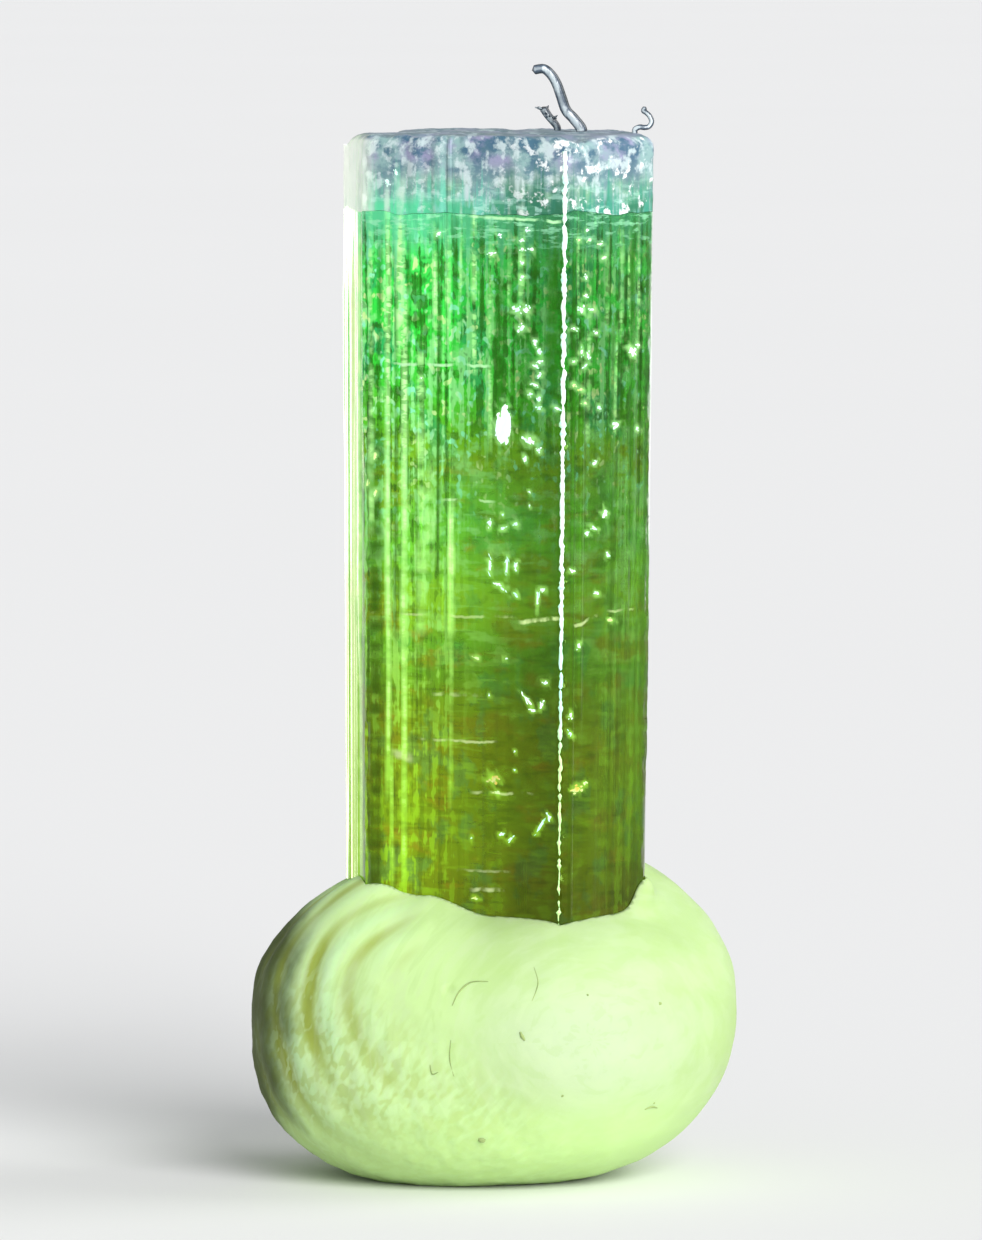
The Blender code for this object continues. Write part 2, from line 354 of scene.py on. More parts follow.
def mottle_group():
    """Soft spots, used for clouds and grains in the crystal and for the skins of the putty and the fibres."""
    inputs = (
        ("Place", VECTOR), ("Scale", FLOAT, 1000.0), ("Threshold", FLOAT, 0.5), ("Softness", FLOAT, 0.15),
    )
    n, given, mask = new_group("mottle", inputs, "Mask", FLOAT)
    coarse = n.noise(given["Place"], given["Scale"], detail=5.0, roughness=0.6)
    low = n.minus(given["Threshold"], given["Softness"])
    high = n.plus(given["Threshold"], given["Softness"])
    n.link(n.remap(coarse, low, high), mask)
    return n.tree


def grain_group():
    """Fine grain for bump, as a height."""
    n, given, height = new_group("grain", (("Place", VECTOR), ("Scale", FLOAT, 4000.0)), "Height", FLOAT)
    n.link(n.noise(given["Place"], given["Scale"], detail=4.0, roughness=0.6), height)
    return n.tree


def frost_group():
    """Blends the green body into the frosted cap: haze that comes down in streaks, and pale blotches."""
    inputs = (
        ("Base", COLOUR), ("Growth", VECTOR), ("Height", FLOAT, 10.0), ("Streaks", FLOAT, 0.5),
        ("Haze", COLOUR), ("Blotch", COLOUR),
    )
    n, given, colour_out = new_group("frost", inputs, "Color", COLOUR)
    climbing = n.plus(given["Height"], n.swing(given["Streaks"], 1.6))
    base = n.mix(n.remap(climbing, 10.0, 10.48, 0.0, 0.95), given["Base"], given["Haze"])
    blotches = n.spots(n.scaled(given["Growth"], (4.0, 13.0, 1.0)), 1.0, 0.56, 0.05)
    near = n.times(n.remap(given["Height"], 10.0, 10.45), n.remap(given["Height"], 10.85, 10.6))
    n.link(n.layer(base, given["Blotch"], blotches, near, 0.55), colour_out)
    return n.tree


# The height, in millimetres, about which the cap's frost is turned over.
FROST_MIDDLE = 10.5
GROUPS = {}
GROUP_MAKERS = {"crack": crack_group, "mottle": mottle_group, "grain": grain_group, "frost": frost_group}


# ---------------------------------------------------------------- the prism


FRONT_EDGE = Vector((0.79, -1.60)) * MM
TAPER = 0.0042 / MM
LEAN = 0.0048
BULGE = 0.022
FINE_PITCH = 0.021 * MM
COARSE_PITCH = 0.060 * MM
ROW_PITCH = 0.036 * MM
RIM_ROUNDING = 0.15 * MM
WORN_CORNER_DROP = 0.13 * MM
WORN_CORNER_REACH = 1.1 * MM
TOP_PITS = 0.05 * MM
CHIP_REACH = 0.055 * MM
SKIN = 0.004 * MM
RIB_SEED = 23
RIB_FADE = 0.8 * MM
# The ribs' least and greatest width, length, foot height and step to the next, in millimetres.
RIB_WIDTHS = (0.04, 0.24)
RIB_LENGTHS = (2.0, 12.0)
RIB_FEET = (-3.0, 9.0)
RIB_STEPS = (0.05, 0.20)
# How many steps lie across the joint of body and cap, up the cap's sides, round its rim and across its top.
JOINT_STEPS = 8
SIDE_STEPS = 16
RIM_STEPS = 5
TOP_STEPS = 24


class Prism:
    """The crystal's sides: where a place round and up the crystal is."""

    def __init__(self, settings):
        self.settings = settings
        right_back = settings.front_left + settings.left - settings.back
        front_right = settings.left + settings.back_left - right_back
        self.sides = (
            settings.front_left, settings.left, settings.back_left, settings.back, right_back, front_right,
        )
        self.girth = sum(self.sides)
        self.corners = []
        self.alongs = []
        corner = FRONT_EDGE.copy()
        heading = math.pi - settings.turn
        for side in self.sides:
            along = Vector((math.cos(heading), math.sin(heading)))
            self.corners.append(corner.copy())
            self.alongs.append(along)
            corner = corner + along * side
            heading -= math.radians(60)
        self.left_corner = min(self.corners, key=lambda corner: corner.x)
        self.ribs = self.make_ribs()

    def make_ribs(self):
        """Ribs and steps, as (where it starts, where it ends, height, foot, top) in metres round and up."""
        draw = random.Random(RIB_SEED)
        ribs = []
        place = 0.0
        while place < self.girth:
            wide = draw.uniform(*RIB_WIDTHS) * MM
            tall = draw.uniform(*RIB_LENGTHS) * MM
            foot = draw.uniform(*RIB_FEET) * MM
            ribs.append((place, place + wide, draw.random() ** 1.5, foot, foot + tall))
            place += draw.uniform(*RIB_STEPS) * MM
        return ribs

    def columns(self):
        """Places round the crystal: close together in front and at the left, wider at the back."""
        places = []
        place = 0.0
        while place < self.girth - 0.5 * FINE_PITCH:
            places.append(place)
            seen = place < self.sides[0] + self.sides[1] or place > self.girth - self.sides[5]
            place += FINE_PITCH if seen else COARSE_PITCH
        return places

    def side_at(self, round_it):
        """The side that holds this place round the crystal, and how far along it the place is."""
        rest = round_it % self.girth
        for k, side in enumerate(self.sides):
            if rest < side:
                return k, rest
            rest -= side
        return 5, self.sides[5]

    def rib_height(self, round_it, height):
        """How far the ribs stand out here, from 0 to 1."""
        place = round_it % self.girth
        out = 0.0
        for start, end, tall, foot, top in self.ribs:
            if not (start < place < end and foot < height < top):
                continue
            beside = math.sin(math.pi * (place - start) / (end - start)) ** 0.6
            ends = min(1.0, (height - foot) / RIB_FADE, (top - height) / RIB_FADE)
            out = max(out, tall * beside * ends)
        return out

    def chip(self, from_corner, height, corner):
        """How far a chip cuts this place back."""
        if from_corner > CHIP_REACH:
            return 0.0
        rough = noise.noise(Vector((height / (0.16 * MM), corner * 7.3, 0.0)))
        fine = noise.noise(Vector((height / (0.05 * MM), corner * 3.1, 5.0)))
        depth = max(0.0, 0.35 + 0.9 * rough + 0.4 * fine)
        return self.settings.chip_depth * depth * (1 - from_corner / CHIP_REACH)

    def outward(self, round_it):
        """The way out from the side here."""
        along = self.alongs[self.side_at(round_it)[0]]
        return Vector((-along.y, along.x, 0.0))

    def place(self, round_it, height, out=0.0):
        """The point at this place round and up the crystal, out from its skin."""
        k, rest = self.side_at(round_it)
        side = self.sides[k]
        share = rest / side
        along = self.alongs[k]
        outward = Vector((-along.y, along.x))
        bulge = 4 * BULGE * side * share * (1 - share)
        from_corner = min(rest, side - rest)
        corner = k if rest < side / 2 else (k + 1) % 6
        ribs = self.settings.rib_depth * self.rib_height(round_it, height)
        ribs *= min(1.0, from_corner / CHIP_REACH)
        out_total = bulge + ribs - self.chip(from_corner, height, corner) + out
        flat = self.corners[k] + along * rest + outward * out_total
        return self.stood(flat, height)

    def stood(self, flat, height):
        """A point of the prism's outline, drawn in and leant over for its height."""
        below = self.settings.top - height
        flat = flat * (1 - TAPER * below)
        return Vector((flat.x - LEAN * below, flat.y, height))

    def border(self, round_it):
        """The irregular height at which the frosted cap begins here."""
        turn = math.tau * round_it / self.girth
        ring = Vector((math.cos(turn), math.sin(turn), 0.0))
        coarse = noise.noise(ring * 3.4)
        fine = noise.noise(ring * 9.0)
        return self.settings.cap_border + (0.05 * coarse + 0.02 * fine) * MM

    def worn(self, point):
        """How far the top's left corner is worn down here."""
        near = max(0.0, 1 - (point.xy - self.left_corner).length / WORN_CORNER_REACH)
        return WORN_CORNER_DROP * near ** 2


def across_the_body(ring, share):
    """This ring drawn in towards its middle: a share of 1 is the ring itself, and 0 is its middle."""
    middle = middle_of(ring)
    return [middle.lerp(point, share) for point in ring]


# Streaks up the crystal, in millimetres: how far round, half width, foot, top, how broken, how strong.
# Those at 2.60 mm round and further, on the narrow left side, are a painted highlight where it catches the
# light. The rest are the crystal's own pale streaks.
PALE_STREAKS = (
    (3.40, 0.16, 3.3, 11.5, 0.2, 1.0), (2.95, 0.25, 3.3, 11.5, 0.2, 1.0), (2.60, 0.11, 3.3, 10.8, 0.4, 0.7),
    (2.25, 0.035, 7.8, 10.5, 0.9, 0.5), (2.25, 0.06, 7.3, 8.1, 0.6, 0.6), (2.05, 0.045, 4.5, 10.7, 0.2, 0.85),
    (2.00, 0.035, 3.3, 4.5, 0.4, 0.7), (1.90, 0.08, 9.3, 10.8, 0.3, 0.95), (1.85, 0.05, 3.6, 9.5, 0.3, 0.8),
    (1.65, 0.06, 7.2, 8.9, 0.8, 0.5), (1.65, 0.09, 6.1, 6.9, 0.9, 0.45), (1.55, 0.09, 7.0, 7.6, 0.9, 0.3),
    (1.50, 0.035, 9.2, 10.5, 0.8, 0.8), (1.35, 0.04, 9.5, 10.5, 0.9, 0.7), (1.30, 0.055, 6.1, 7.1, 0.3, 0.8),
    (1.30, 0.03, 4.3, 5.9, 0.5, 0.35), (1.20, 0.02, 9.7, 10.5, 0.6, 0.6), (1.05, 0.035, 9.1, 10.5, 0.7, 0.75),
    (0.85, 0.03, 9.3, 10.1, 0.7, 0.6), (0.85, 0.025, 8.2, 8.7, 0.3, 0.6), (0.65, 0.025, 9.7, 10.5, 0.5, 0.7),
    (0.50, 0.045, 9.6, 10.5, 0.9, 0.8), (-0.15, 0.025, 9.9, 10.3, 0.4, 0.7),
    (-0.30, 0.045, 8.3, 9.6, 0.9, 0.5),
    (-0.55, 0.045, 9.6, 10.3, 0.9, 0.55), (-0.70, 0.03, 8.5, 8.9, 0.3, 0.6),
    (-0.75, 0.03, 9.3, 10.2, 0.5, 0.7),
    (-0.85, 0.02, 9.3, 10.3, 0.7, 0.8), (-1.00, 0.035, 9.2, 10.4, 0.6, 0.7),
)
DARK_STREAKS = (
    (2.30, 0.02, 3.3, 10.6, 0.2, 0.6), (2.20, 0.12, 3.3, 8.0, 0.4, 0.9), (2.15, 0.035, 8.2, 10.5, 0.5, 0.6),
    (1.95, 0.035, 6.1, 10.5, 0.4, 0.5), (1.80, 0.025, 7.6, 10.1, 0.4, 0.6), (1.70, 0.025, 5.0, 7.6, 0.4, 0.4),
    (1.45, 0.025, 6.8, 10.5, 0.1, 0.95), (1.25, 0.03, 9.7, 10.5, 0.2, 0.85),
    (0.95, 0.035, 9.6, 10.3, 0.4, 0.6),
    (0.75, 0.08, 8.4, 9.4, 0.5, 0.7), (0.45, 0.07, 8.5, 9.3, 0.5, 0.4), (0.35, 0.06, 10.0, 10.6, 0.5, 0.5),
    (0.15, 0.10, 8.9, 10.6, 0.3, 0.9), (0.05, 0.03, 2.9, 10.6, 0.3, 0.8), (-0.10, 0.03, 2.9, 10.6, 0.4, 0.6),
    (-0.50, 0.085, 6.8, 7.5, 0.5, 0.4), (-0.65, 0.035, 3.5, 9.3, 0.5, 0.5),
    (-0.90, 0.055, 9.3, 10.7, 0.1, 0.95),
    (-0.90, 0.045, 7.8, 9.4, 0.4, 0.6), (-1.05, 0.035, 3.3, 6.0, 0.4, 0.5),
    (-1.15, 0.045, 3.1, 10.6, 0.3, 0.6),
)

# Cracks across the crystal, in millimetres: from, to, height there and there, half thickness, how strong.
CRACKS = (
    (0.05, 1.10, 10.45, 10.50, 0.018, 0.95), (0.85, 2.10, 8.90, 8.90, 0.018, 0.85),
    (0.80, 1.40, 7.45, 7.45, 0.016, 0.6), (0.05, 0.50, 6.20, 6.15, 0.024, 0.95),
    (0.55, 2.25, 6.20, 6.20, 0.016, 0.4), (-0.60, -0.10, 6.25, 6.10, 0.022, 0.6),
    (-1.15, -0.60, 6.25, 6.25, 0.016, 0.4), (0.95, 1.50, 5.35, 5.35, 0.022, 0.45),
    (0.75, 1.75, 4.85, 4.85, 0.016, 0.6), (1.75, 2.00, 4.65, 4.70, 0.054, 0.6),
    (0.35, 1.05, 4.30, 4.30, 0.016, 0.5), (0.60, 1.20, 3.45, 3.45, 0.016, 0.4),
    (0.60, 1.05, 3.25, 3.25, 0.024, 0.7),
)

# The colours of the glints' tones: white, cyan, yellow-green and brown.
GLINT_TONES = (
    (0.0, (0.93, 1.0, 0.93)), (0.8, (0.50, 0.95, 0.82)),
    (1.3, (0.62, 0.95, 0.35)), (2.0, (0.50, 0.38, 0.05)),
)
# The glints' shapes: half width and half height, in millimetres.
GLINT_SHAPES = {
    "oval": (0.095, 0.205), "patch": (0.095, 0.055), "blob": (0.060, 0.055), "dash": (0.060, 0.025),
    "dot": (0.042, 0.032), "speck": (0.020, 0.018), "tall": (0.030, 0.058), "sliver": (0.022, 0.130),
}
# Their places: shape, turn in degrees, tone, then how far round and how high each lies, in millimetres.
GLINT_PLACES = (
    ("oval", 4, 0.0, ((0.70, 8.25),)),
    ("patch", 30, 0.0, ((-0.90, 9.05), (0.40, 8.10))),
    ("patch", 5, 2.0, ((0.80, 4.45), (-0.20, 4.35))),
    ("blob", 5, 0.1, ((0.55, 9.50), (0.45, 9.50), (0.50, 9.30), (-0.20, 9.50), (-0.70, 8.25), (-0.55, 7.30))),
    ("dash", 10, 0.0, (
        (0.85, 10.10), (-0.10, 9.30), (-0.35, 9.50), (0.75, 6.55), (-0.10, 6.70), (0.35, 5.20),
    )),
    ("dash", 20, 0.2, ((0.35, 8.90), (0.35, 8.70), (0.10, 8.45), (-0.40, 7.15), (-0.45, 6.45))),
    ("dash", 35, 0.4, ((0.70, 6.50), (0.55, 6.45), (-0.10, 4.95))),
    ("dash", -30, 0.2, (
        (0.30, 8.80), (0.70, 7.15), (0.70, 3.85), (0.60, 3.80), (-0.25, 8.90), (-0.40, 7.85),
    )),
    ("dash", -15, 0.9, ((-0.10, 8.95), (-0.30, 10.25), (-0.45, 10.20), (-0.50, 10.05))),
    ("dash", 10, 1.4, (
        (1.00, 5.75), (0.75, 4.30), (1.00, 3.15), (-0.20, 8.65), (-0.25, 8.50), (-0.65, 6.15),
    )),
    ("dot", 0, 0.0, (
        (0.50, 10.25), (0.50, 10.15), (0.50, 10.00), (0.50, 9.85), (0.75, 10.30), (0.45, 10.35),
    )),
    ("dot", 0, 0.0, ((0.40, 10.15), (1.45, 10.30), (0.30, 8.95), (0.30, 8.00), (0.25, 6.50), (0.20, 5.50))),
    ("dot", 0, 0.0, (
        (-0.25, 10.35), (-0.25, 9.85), (-0.25, 9.65), (-0.40, 9.25), (-1.00, 9.10), (-1.00, 8.20),
    )),
    ("dot", 0, 0.4, ((0.40, 8.60), (0.30, 8.45), (0.55, 7.20), (-0.45, 8.45), (-0.30, 7.10), (-0.60, 6.85))),
    ("dot", 0, 1.3, ((-0.15, 10.25), (-0.10, 8.70), (-0.30, 4.40))),
    ("speck", 0, 0.0, ((1.65, 8.75), (0.40, 7.55), (0.40, 7.40), (0.65, 5.75), (0.85, 5.35), (0.55, 4.75))),
    ("speck", 0, 0.6, ((0.70, 7.30), (0.55, 4.55), (1.05, 3.80))),
    ("tall", -12, 0.2, ((0.35, 9.15), (0.30, 9.05), (2.05, 10.85), (1.95, 10.95), (0.15, 4.05))),
    ("tall", 5, 0.2, ((0.30, 8.55), (0.45, 7.90), (0.85, 7.20), (0.55, 6.75), (-0.20, 9.05), (-0.30, 9.00))),
    ("tall", 25, 0.0, ((0.25, 5.25), (-0.20, 5.90), (-0.10, 5.15))),
    ("tall", 18, 1.3, ((2.20, 7.90), (2.30, 7.60), (2.20, 7.50))),
    ("sliver", 2, 0.4, ((0.85, 6.75), (0.65, 6.75), (0.30, 6.40))),
    ("sliver", -42, 0.0, ((0.40, 5.30),)),
    ("sliver", 30, 0.6, ((0.25, 3.95),)),
)
GLINTS = tuple(
    (place, height, *GLINT_SHAPES[shape], degrees, tone)
    for shape, degrees, tone, places in GLINT_PLACES
    for place, height in places
)


# How the streaks are drawn: fade, fray and wander in millimetres, the swell as a share, and the reach and
# the softness in half widths.
STREAK_FADE = 0.3
STREAK_FRAY = 0.35
STREAK_WANDER = 0.02
STREAK_SWELL = 0.35
STREAK_REACH = 1.3
STREAK_SOFTNESS = 0.8
# Streaks further round than this lie at the left corner. The others are narrower and more broken.
LEFT_CORNER_FROM = 2.35
NARROWING = 0.62
MORE_BROKEN = 0.3
# The glow round a glint: how far it reaches beyond the glint, in millimetres, and how ragged it is.
HALO_MARGIN = 0.010
HALO_RAGGEDNESS = 0.7
# How far round a mark can still show, in millimetres.
MARK_REACH = 0.35


def streak_strength(streaks, round_mm, height_mm):
    """How strongly the strongest of these streaks shows here, from 0 to 1."""
    strongest = 0.0
    for across, half_width, foot, top, broken, strength in streaks:
        fray = STREAK_FRAY * noise.noise(Vector((across * 9, round_mm * 6, 2.0)))
        if not foot - STREAK_FADE < height_mm + fray < top + STREAK_FADE:
            continue
        wander = STREAK_WANDER * noise.noise(Vector((across * 5, height_mm * 0.8, 0.0)))
        swell = 1 + STREAK_SWELL * noise.noise(Vector((across * 7, height_mm * 3.0, 4.0)))
        narrow = NARROWING if across < LEFT_CORNER_FROM else 1.0
        off = abs(round_mm - across - wander) / (half_width * swell * narrow)
        if off >= STREAK_REACH:
            continue
        line = min(1.0, (STREAK_REACH - off) / STREAK_SOFTNESS)
        above_foot = height_mm + fray - foot + STREAK_FADE
        below_top = top + STREAK_FADE - height_mm - fray
        ends = min(1.0, above_foot / STREAK_FADE, below_top / STREAK_FADE)
        beads = 0.5 + 1.6 * noise.noise(Vector((across * 11, height_mm * 9.0, 1.0)))
        gaps = broken if across > LEFT_CORNER_FROM else min(1.0, broken + MORE_BROKEN)
        kept = 1 - gaps * min(1.0, max(0.0, beads))
        strongest = max(strongest, strength * line * ends * kept)
    return strongest


def halo_strength(glints, round_mm, height_mm):
    """How strongly the strongest glow round any of these glints shows here, from 0 to 1."""
    strongest = 0.0
    for across, middle, half_width, half_height, degrees, _ in glints:
        tilt = math.radians(degrees)
        right, up = across - round_mm, height_mm - middle
        along = (right * math.cos(tilt) - up * math.sin(tilt)) / (half_width + HALO_MARGIN)
        level = (right * math.sin(tilt) + up * math.cos(tilt)) / (half_height + HALO_MARGIN)
        ragged = 1 + HALO_RAGGEDNESS * noise.noise(Vector((round_mm * 18, height_mm * 18, 0.0)))
        off = math.hypot(along, level) * ragged
        strongest = max(strongest, min(1.0, 1.25 - off))
    return strongest


# The marks that the skin's vertices carry: name, what is drawn, and how strongly it shows at a place.
MARKS = (
    ("pale_streaks", PALE_STREAKS, streak_strength),
    ("dark_streaks", DARK_STREAKS, streak_strength),
    ("halos", GLINTS, halo_strength),
)


def mark_skin(bm, prism, places, loops):
    """Writes how strongly each kind of mark shows at each vertex."""
    for name, rows, strength_at in MARKS:
        layer = bm.verts.layers.float[name]
        for column, place in enumerate(places):
            round_mm = (place if place < prism.girth / 2 else place - prism.girth) / MM
            near = [row for row in rows if abs(row[0] - round_mm) < MARK_REACH]
            for loop in loops:
                vert = loop[column]
                vert[layer] = strength_at(near, round_mm, vert.co.z / MM)


def growth_map(bm, prism, places):
    """A UV map of the place round the crystal from its front edge, and of the height, in millimetres."""
    growth = bm.loops.layers.uv.new("growth")
    bm.verts.index_update()
    count = len(places)
    for face in bm.faces:
        columns = [loop.vert.index % count for loop in face.loops]
        wraps = max(columns) - min(columns) > count / 2
        for loop, column in zip(face.loops, columns):
            place = places[column]
            if place > prism.girth / 2 or (wraps and column < count / 2 and place > 0):
                place -= prism.girth
            loop[growth].uv = (place / MM, loop.vert.co.z / MM)


def crystal_skin(prism, places, rings, tips, first_marked):
    """A closed skin over these rings, mapped, and marked from this ring on."""
    bm = bmesh.new()
    for name, _, _ in MARKS:
        bm.verts.layers.float.new(name)
    loops = [[bm.verts.new(point) for point in ring] for ring in rings]
    skin_over(bm, loops, tips)
    mark_skin(bm, prism, places, loops[first_marked:])
    growth_map(bm, prism, places)
    bmesh.ops.recalc_face_normals(bm, faces=bm.faces)
    return bm


def body_mesh(settings):
    """The clear body's closed skin: ribbed sides from the foot up to the irregular border of the cap."""
    prism = Prism(settings)
    places = prism.columns()
    rows = round((settings.cap_border - settings.foot) / ROW_PITCH)
    rings = []
    for row in range(rows + 1):
        share = row / rows
        rings.append([
            prism.place(place, settings.foot + (prism.border(place) - settings.foot) * share)
            for place in places
        ])
    top = rings[-1]
    rings += [across_the_body(top, 1 - k / JOINT_STEPS) for k in range(1, JOINT_STEPS)]
    return crystal_skin(prism, places, rings, (middle_of(rings[0]), middle_of(top)), 0)


def cap_mesh(settings):
    """The frosted cap's closed skin: from its border up to the rounded rim and the pitted top."""
    prism = Prism(settings)
    places = prism.columns()
    shoulder = settings.top - RIM_ROUNDING
    lift = Vector((0, 0, SKIN))
    border = [prism.place(place, prism.border(place)) + lift for place in places]
    rings = [across_the_body(border, k / JOINT_STEPS) for k in range(1, JOINT_STEPS)]
    for row in range(SIDE_STEPS + 1):
        rings.append([
            prism.place(place, low.z + (shoulder - low.z) * row / SIDE_STEPS)
            for place, low in zip(places, border)
        ])
    rim = rings[-1]
    middle = middle_of(rim)
    half_width = min(corner.length for corner in prism.corners)
    for k in range(1, RIM_STEPS + 1):
        turn = math.radians(90 * k / RIM_STEPS)
        share = 1 - RIM_ROUNDING * (1 - math.cos(turn)) / half_width
        rings.append(top_ring(prism, rim, middle, share, shoulder + RIM_ROUNDING * math.sin(turn)))
    inner = 1 - RIM_ROUNDING / half_width
    for k in range(1, TOP_STEPS):
        rings.append(top_ring(prism, rim, middle, inner * (1 - k / TOP_STEPS), settings.top))
    tips = (middle_of(border), Vector((*middle.xy, settings.top)))
    return crystal_skin(prism, places, rings, tips, JOINT_STEPS - 1)


def top_ring(prism, rim, middle, share, height):
    """A ring of the top: the rim drawn in by share, with its pits and its worn corner."""
    ring = []
    for point in rim:
        across = middle.lerp(point, share)
        rough = max(0.0, 2 * noise.noise(Vector((across.x, across.y, 0.0)) / (0.35 * MM)))
        fine = noise.noise(Vector((across.x, across.y, 3.0)) / (0.08 * MM))
        low = TOP_PITS * rough * min(1.0, (height - prism.settings.top + RIM_ROUNDING) / RIM_ROUNDING)
        ring.append(Vector((across.x, across.y, height - low + 0.008 * MM * fine - prism.worn(across))))
    return ring


# Colour zones of the clear body, from the foot up: height in millimetres and colour.
ZONES = (
    (2.8, (0.22, 0.27, 0.004)), (3.6, (0.25, 0.38, 0.006)), (4.2, (0.22, 0.38, 0.008)),
    (4.7, (0.26, 0.31, 0.004)), (5.3, (0.20, 0.38, 0.010)), (5.85, (0.12, 0.44, 0.025)),
    (6.15, (0.29, 0.54, 0.016)), (6.7, (0.22, 0.62, 0.030)), (7.3, (0.11, 0.60, 0.050)),
    (7.85, (0.27, 0.45, 0.008)), (8.3, (0.08, 0.58, 0.025)), (9.0, (0.02, 0.74, 0.060)),
    (9.9, (0.03, 0.82, 0.080)), (10.6, (0.12, 0.70, 0.260)),
)
# Painted light and shade round the crystal, brighter at the left and darker at the right: how far round in
# millimetres and brightness.
PAINTED_SHADING = (
    (-1.15, 0.28), (-0.60, 0.38), (-0.10, 0.36), (0.10, 0.26), (0.50, 0.37), (0.95, 0.62), (1.40, 0.88),
    (1.85, 1.25), (2.20, 1.15), (3.60, 1.40),
)
# The haze at the foot of the cap, round the crystal: how far round in millimetres and colour.
# The pale last stop, at the left corner, is a painted highlight.
HAZES = (
    (-0.30, (0.04, 0.34, 0.22)), (0.0, (0.015, 0.18, 0.10)), (0.60, (0.015, 0.16, 0.09)),
    (1.00, (0.14, 0.62, 0.45)), (2.20, (0.18, 0.66, 0.42)), (2.45, (0.70, 0.95, 0.75)),
)


def ramp(n, value, low, high, stops, interpolation="B_SPLINE"):
    """A colour ramp over low..high, from (place, colour) stops."""
    node = n.tree.nodes.new("ShaderNodeValToRGB")
    n.link(n.add("ShaderNodeMapRange", {"Value": value, "From Min": low, "From Max": high}), node.inputs[0])
    node.color_ramp.interpolation = interpolation
    elements = node.color_ramp.elements
    while len(elements) < len(stops):
        elements.new(0.5)
    for element, (place, shade) in zip(elements, stops):
        element.position = (place - low) / (high - low)
        element.color = (*shade, 1.0)
    return node.outputs[0]


def around(n, across, stops):
    """Colours round the crystal, from (how far round, colour) stops."""
    return ramp(n, across, -1.4, 3.8, stops, "LINEAR")


def with_painted_shading(n, base, across):
    """The base at the painted light and shade that it has this far round the crystal."""
    shade = around(n, across, tuple((place, (value,) * 3) for place, value in PAINTED_SHADING))
    return n.mix(1.0, base, shade, blend="MULTIPLY")


def body_material(settings):
    """Clear green glass, zoned up the crystal, with patches, growth streaks, cracks and fine ribs, and
    painted light and shade.
    """
    finish, n, shader = new_material(
        "tourmaline_clear", Roughness=0.05, IOR=1.62, Transmission_Weight=0.5,
        Specular_Tint=(0.4, 0.7, 0.15, 1.0), Emission_Strength=0.25,
    )
    growth = n.add("ShaderNodeUVMap", uv_map="growth")
    across, height, _ = n.split(growth)
    pale = n.mix(n.remap(height, 4.0, 9.0), settings.pale_foot, settings.pale_top)
    dark = n.mix(n.remap(height, 4.0, 9.0), settings.dark_foot, settings.dark_top)
    base = patched(n, settings, growth, height, pale, dark)
    striae = n.streaky(growth, 13.0, 0.5, detail=2.0)
    base = with_painted_shading(n, streaked(n, base, growth, across, height, striae, pale, dark), across)
    base = n.layer(base, dark, n.math("POWER", n.attribute("dark_streaks"), 0.5))
    whitest = n.mix(n.remap(height, 3.0, 9.5), (0.45, 0.95, 0.03), (0.48, 1.0, 0.36))
    least = n.most(n.remap(height, 9.0, 7.4, 0.42, 0.85), n.remap(across, 2.25, 2.40))
    broken = n.most(n.remap(n.streaky(growth, 7.0, 15.0, detail=2.0), 0.43, 0.53), least)
    dimmer = n.remap(across, 1.2, 0.4, 1.0, 0.55)
    pale_streaks = n.times(n.math("POWER", n.attribute("pale_streaks"), 0.7), n.times(dimmer, broken))
    core = n.mix(n.remap(height, 3.5, 8.5), (0.62, 0.95, 0.22), (0.72, 1.0, 0.52))
    # The pale strip at the left corner is a painted highlight, where that narrow side catches the light.
    strip = n.mix(n.remap(height, 3.6, 7.6), (0.66, 0.90, 0.20), (0.95, 1.0, 0.52))
    core = n.layer(core, strip, n.remap(across, 2.26, 2.41))
    base = n.layer(base, whitest, pale_streaks, 1.3)
    base = n.layer(base, core, n.remap(pale_streaks, 0.55, 0.90, 0.0, 0.85))
    halos = n.times(n.attribute("halos"), 0.6)
    frost = {
        "Base": n.layer(base, whitest, halos), "Growth": growth, "Height": height, "Streaks": striae,
        "Haze": with_painted_shading(n, (0.10, 0.62, 0.32), across), "Blotch": (0.45, 0.92, 0.66, 1.0),
    }
    base = cracked(n, n.group("frost", frost), growth, height)
    n.link(base, shader.inputs["Base Color"])
    # Painted glow: the pale streaks and the glow round the glints give off a little light, though they are no
    # lamp.
    glow = n.layer((0.0, 0.0, 0.0), n.mix(0.5, whitest, core), n.most(pale_streaks, halos))
    n.link(glow, shader.inputs["Emission Color"])
    finish.cycles.emission_sampling = "NONE"
    fine = n.streaky(growth, 24.0, 0.5, detail=2.0)
    n.link(n.bump(fine, 0.5, 0.006 * MM), shader.inputs["Normal"])
    depth = n.add("ShaderNodeVolumeAbsorption", {"Color": (0.50, 0.94, 0.25, 1.0), "Density": 300.0})
    n.link(depth, n.tree.nodes["Material Output"].inputs["Volume"])
    return finish


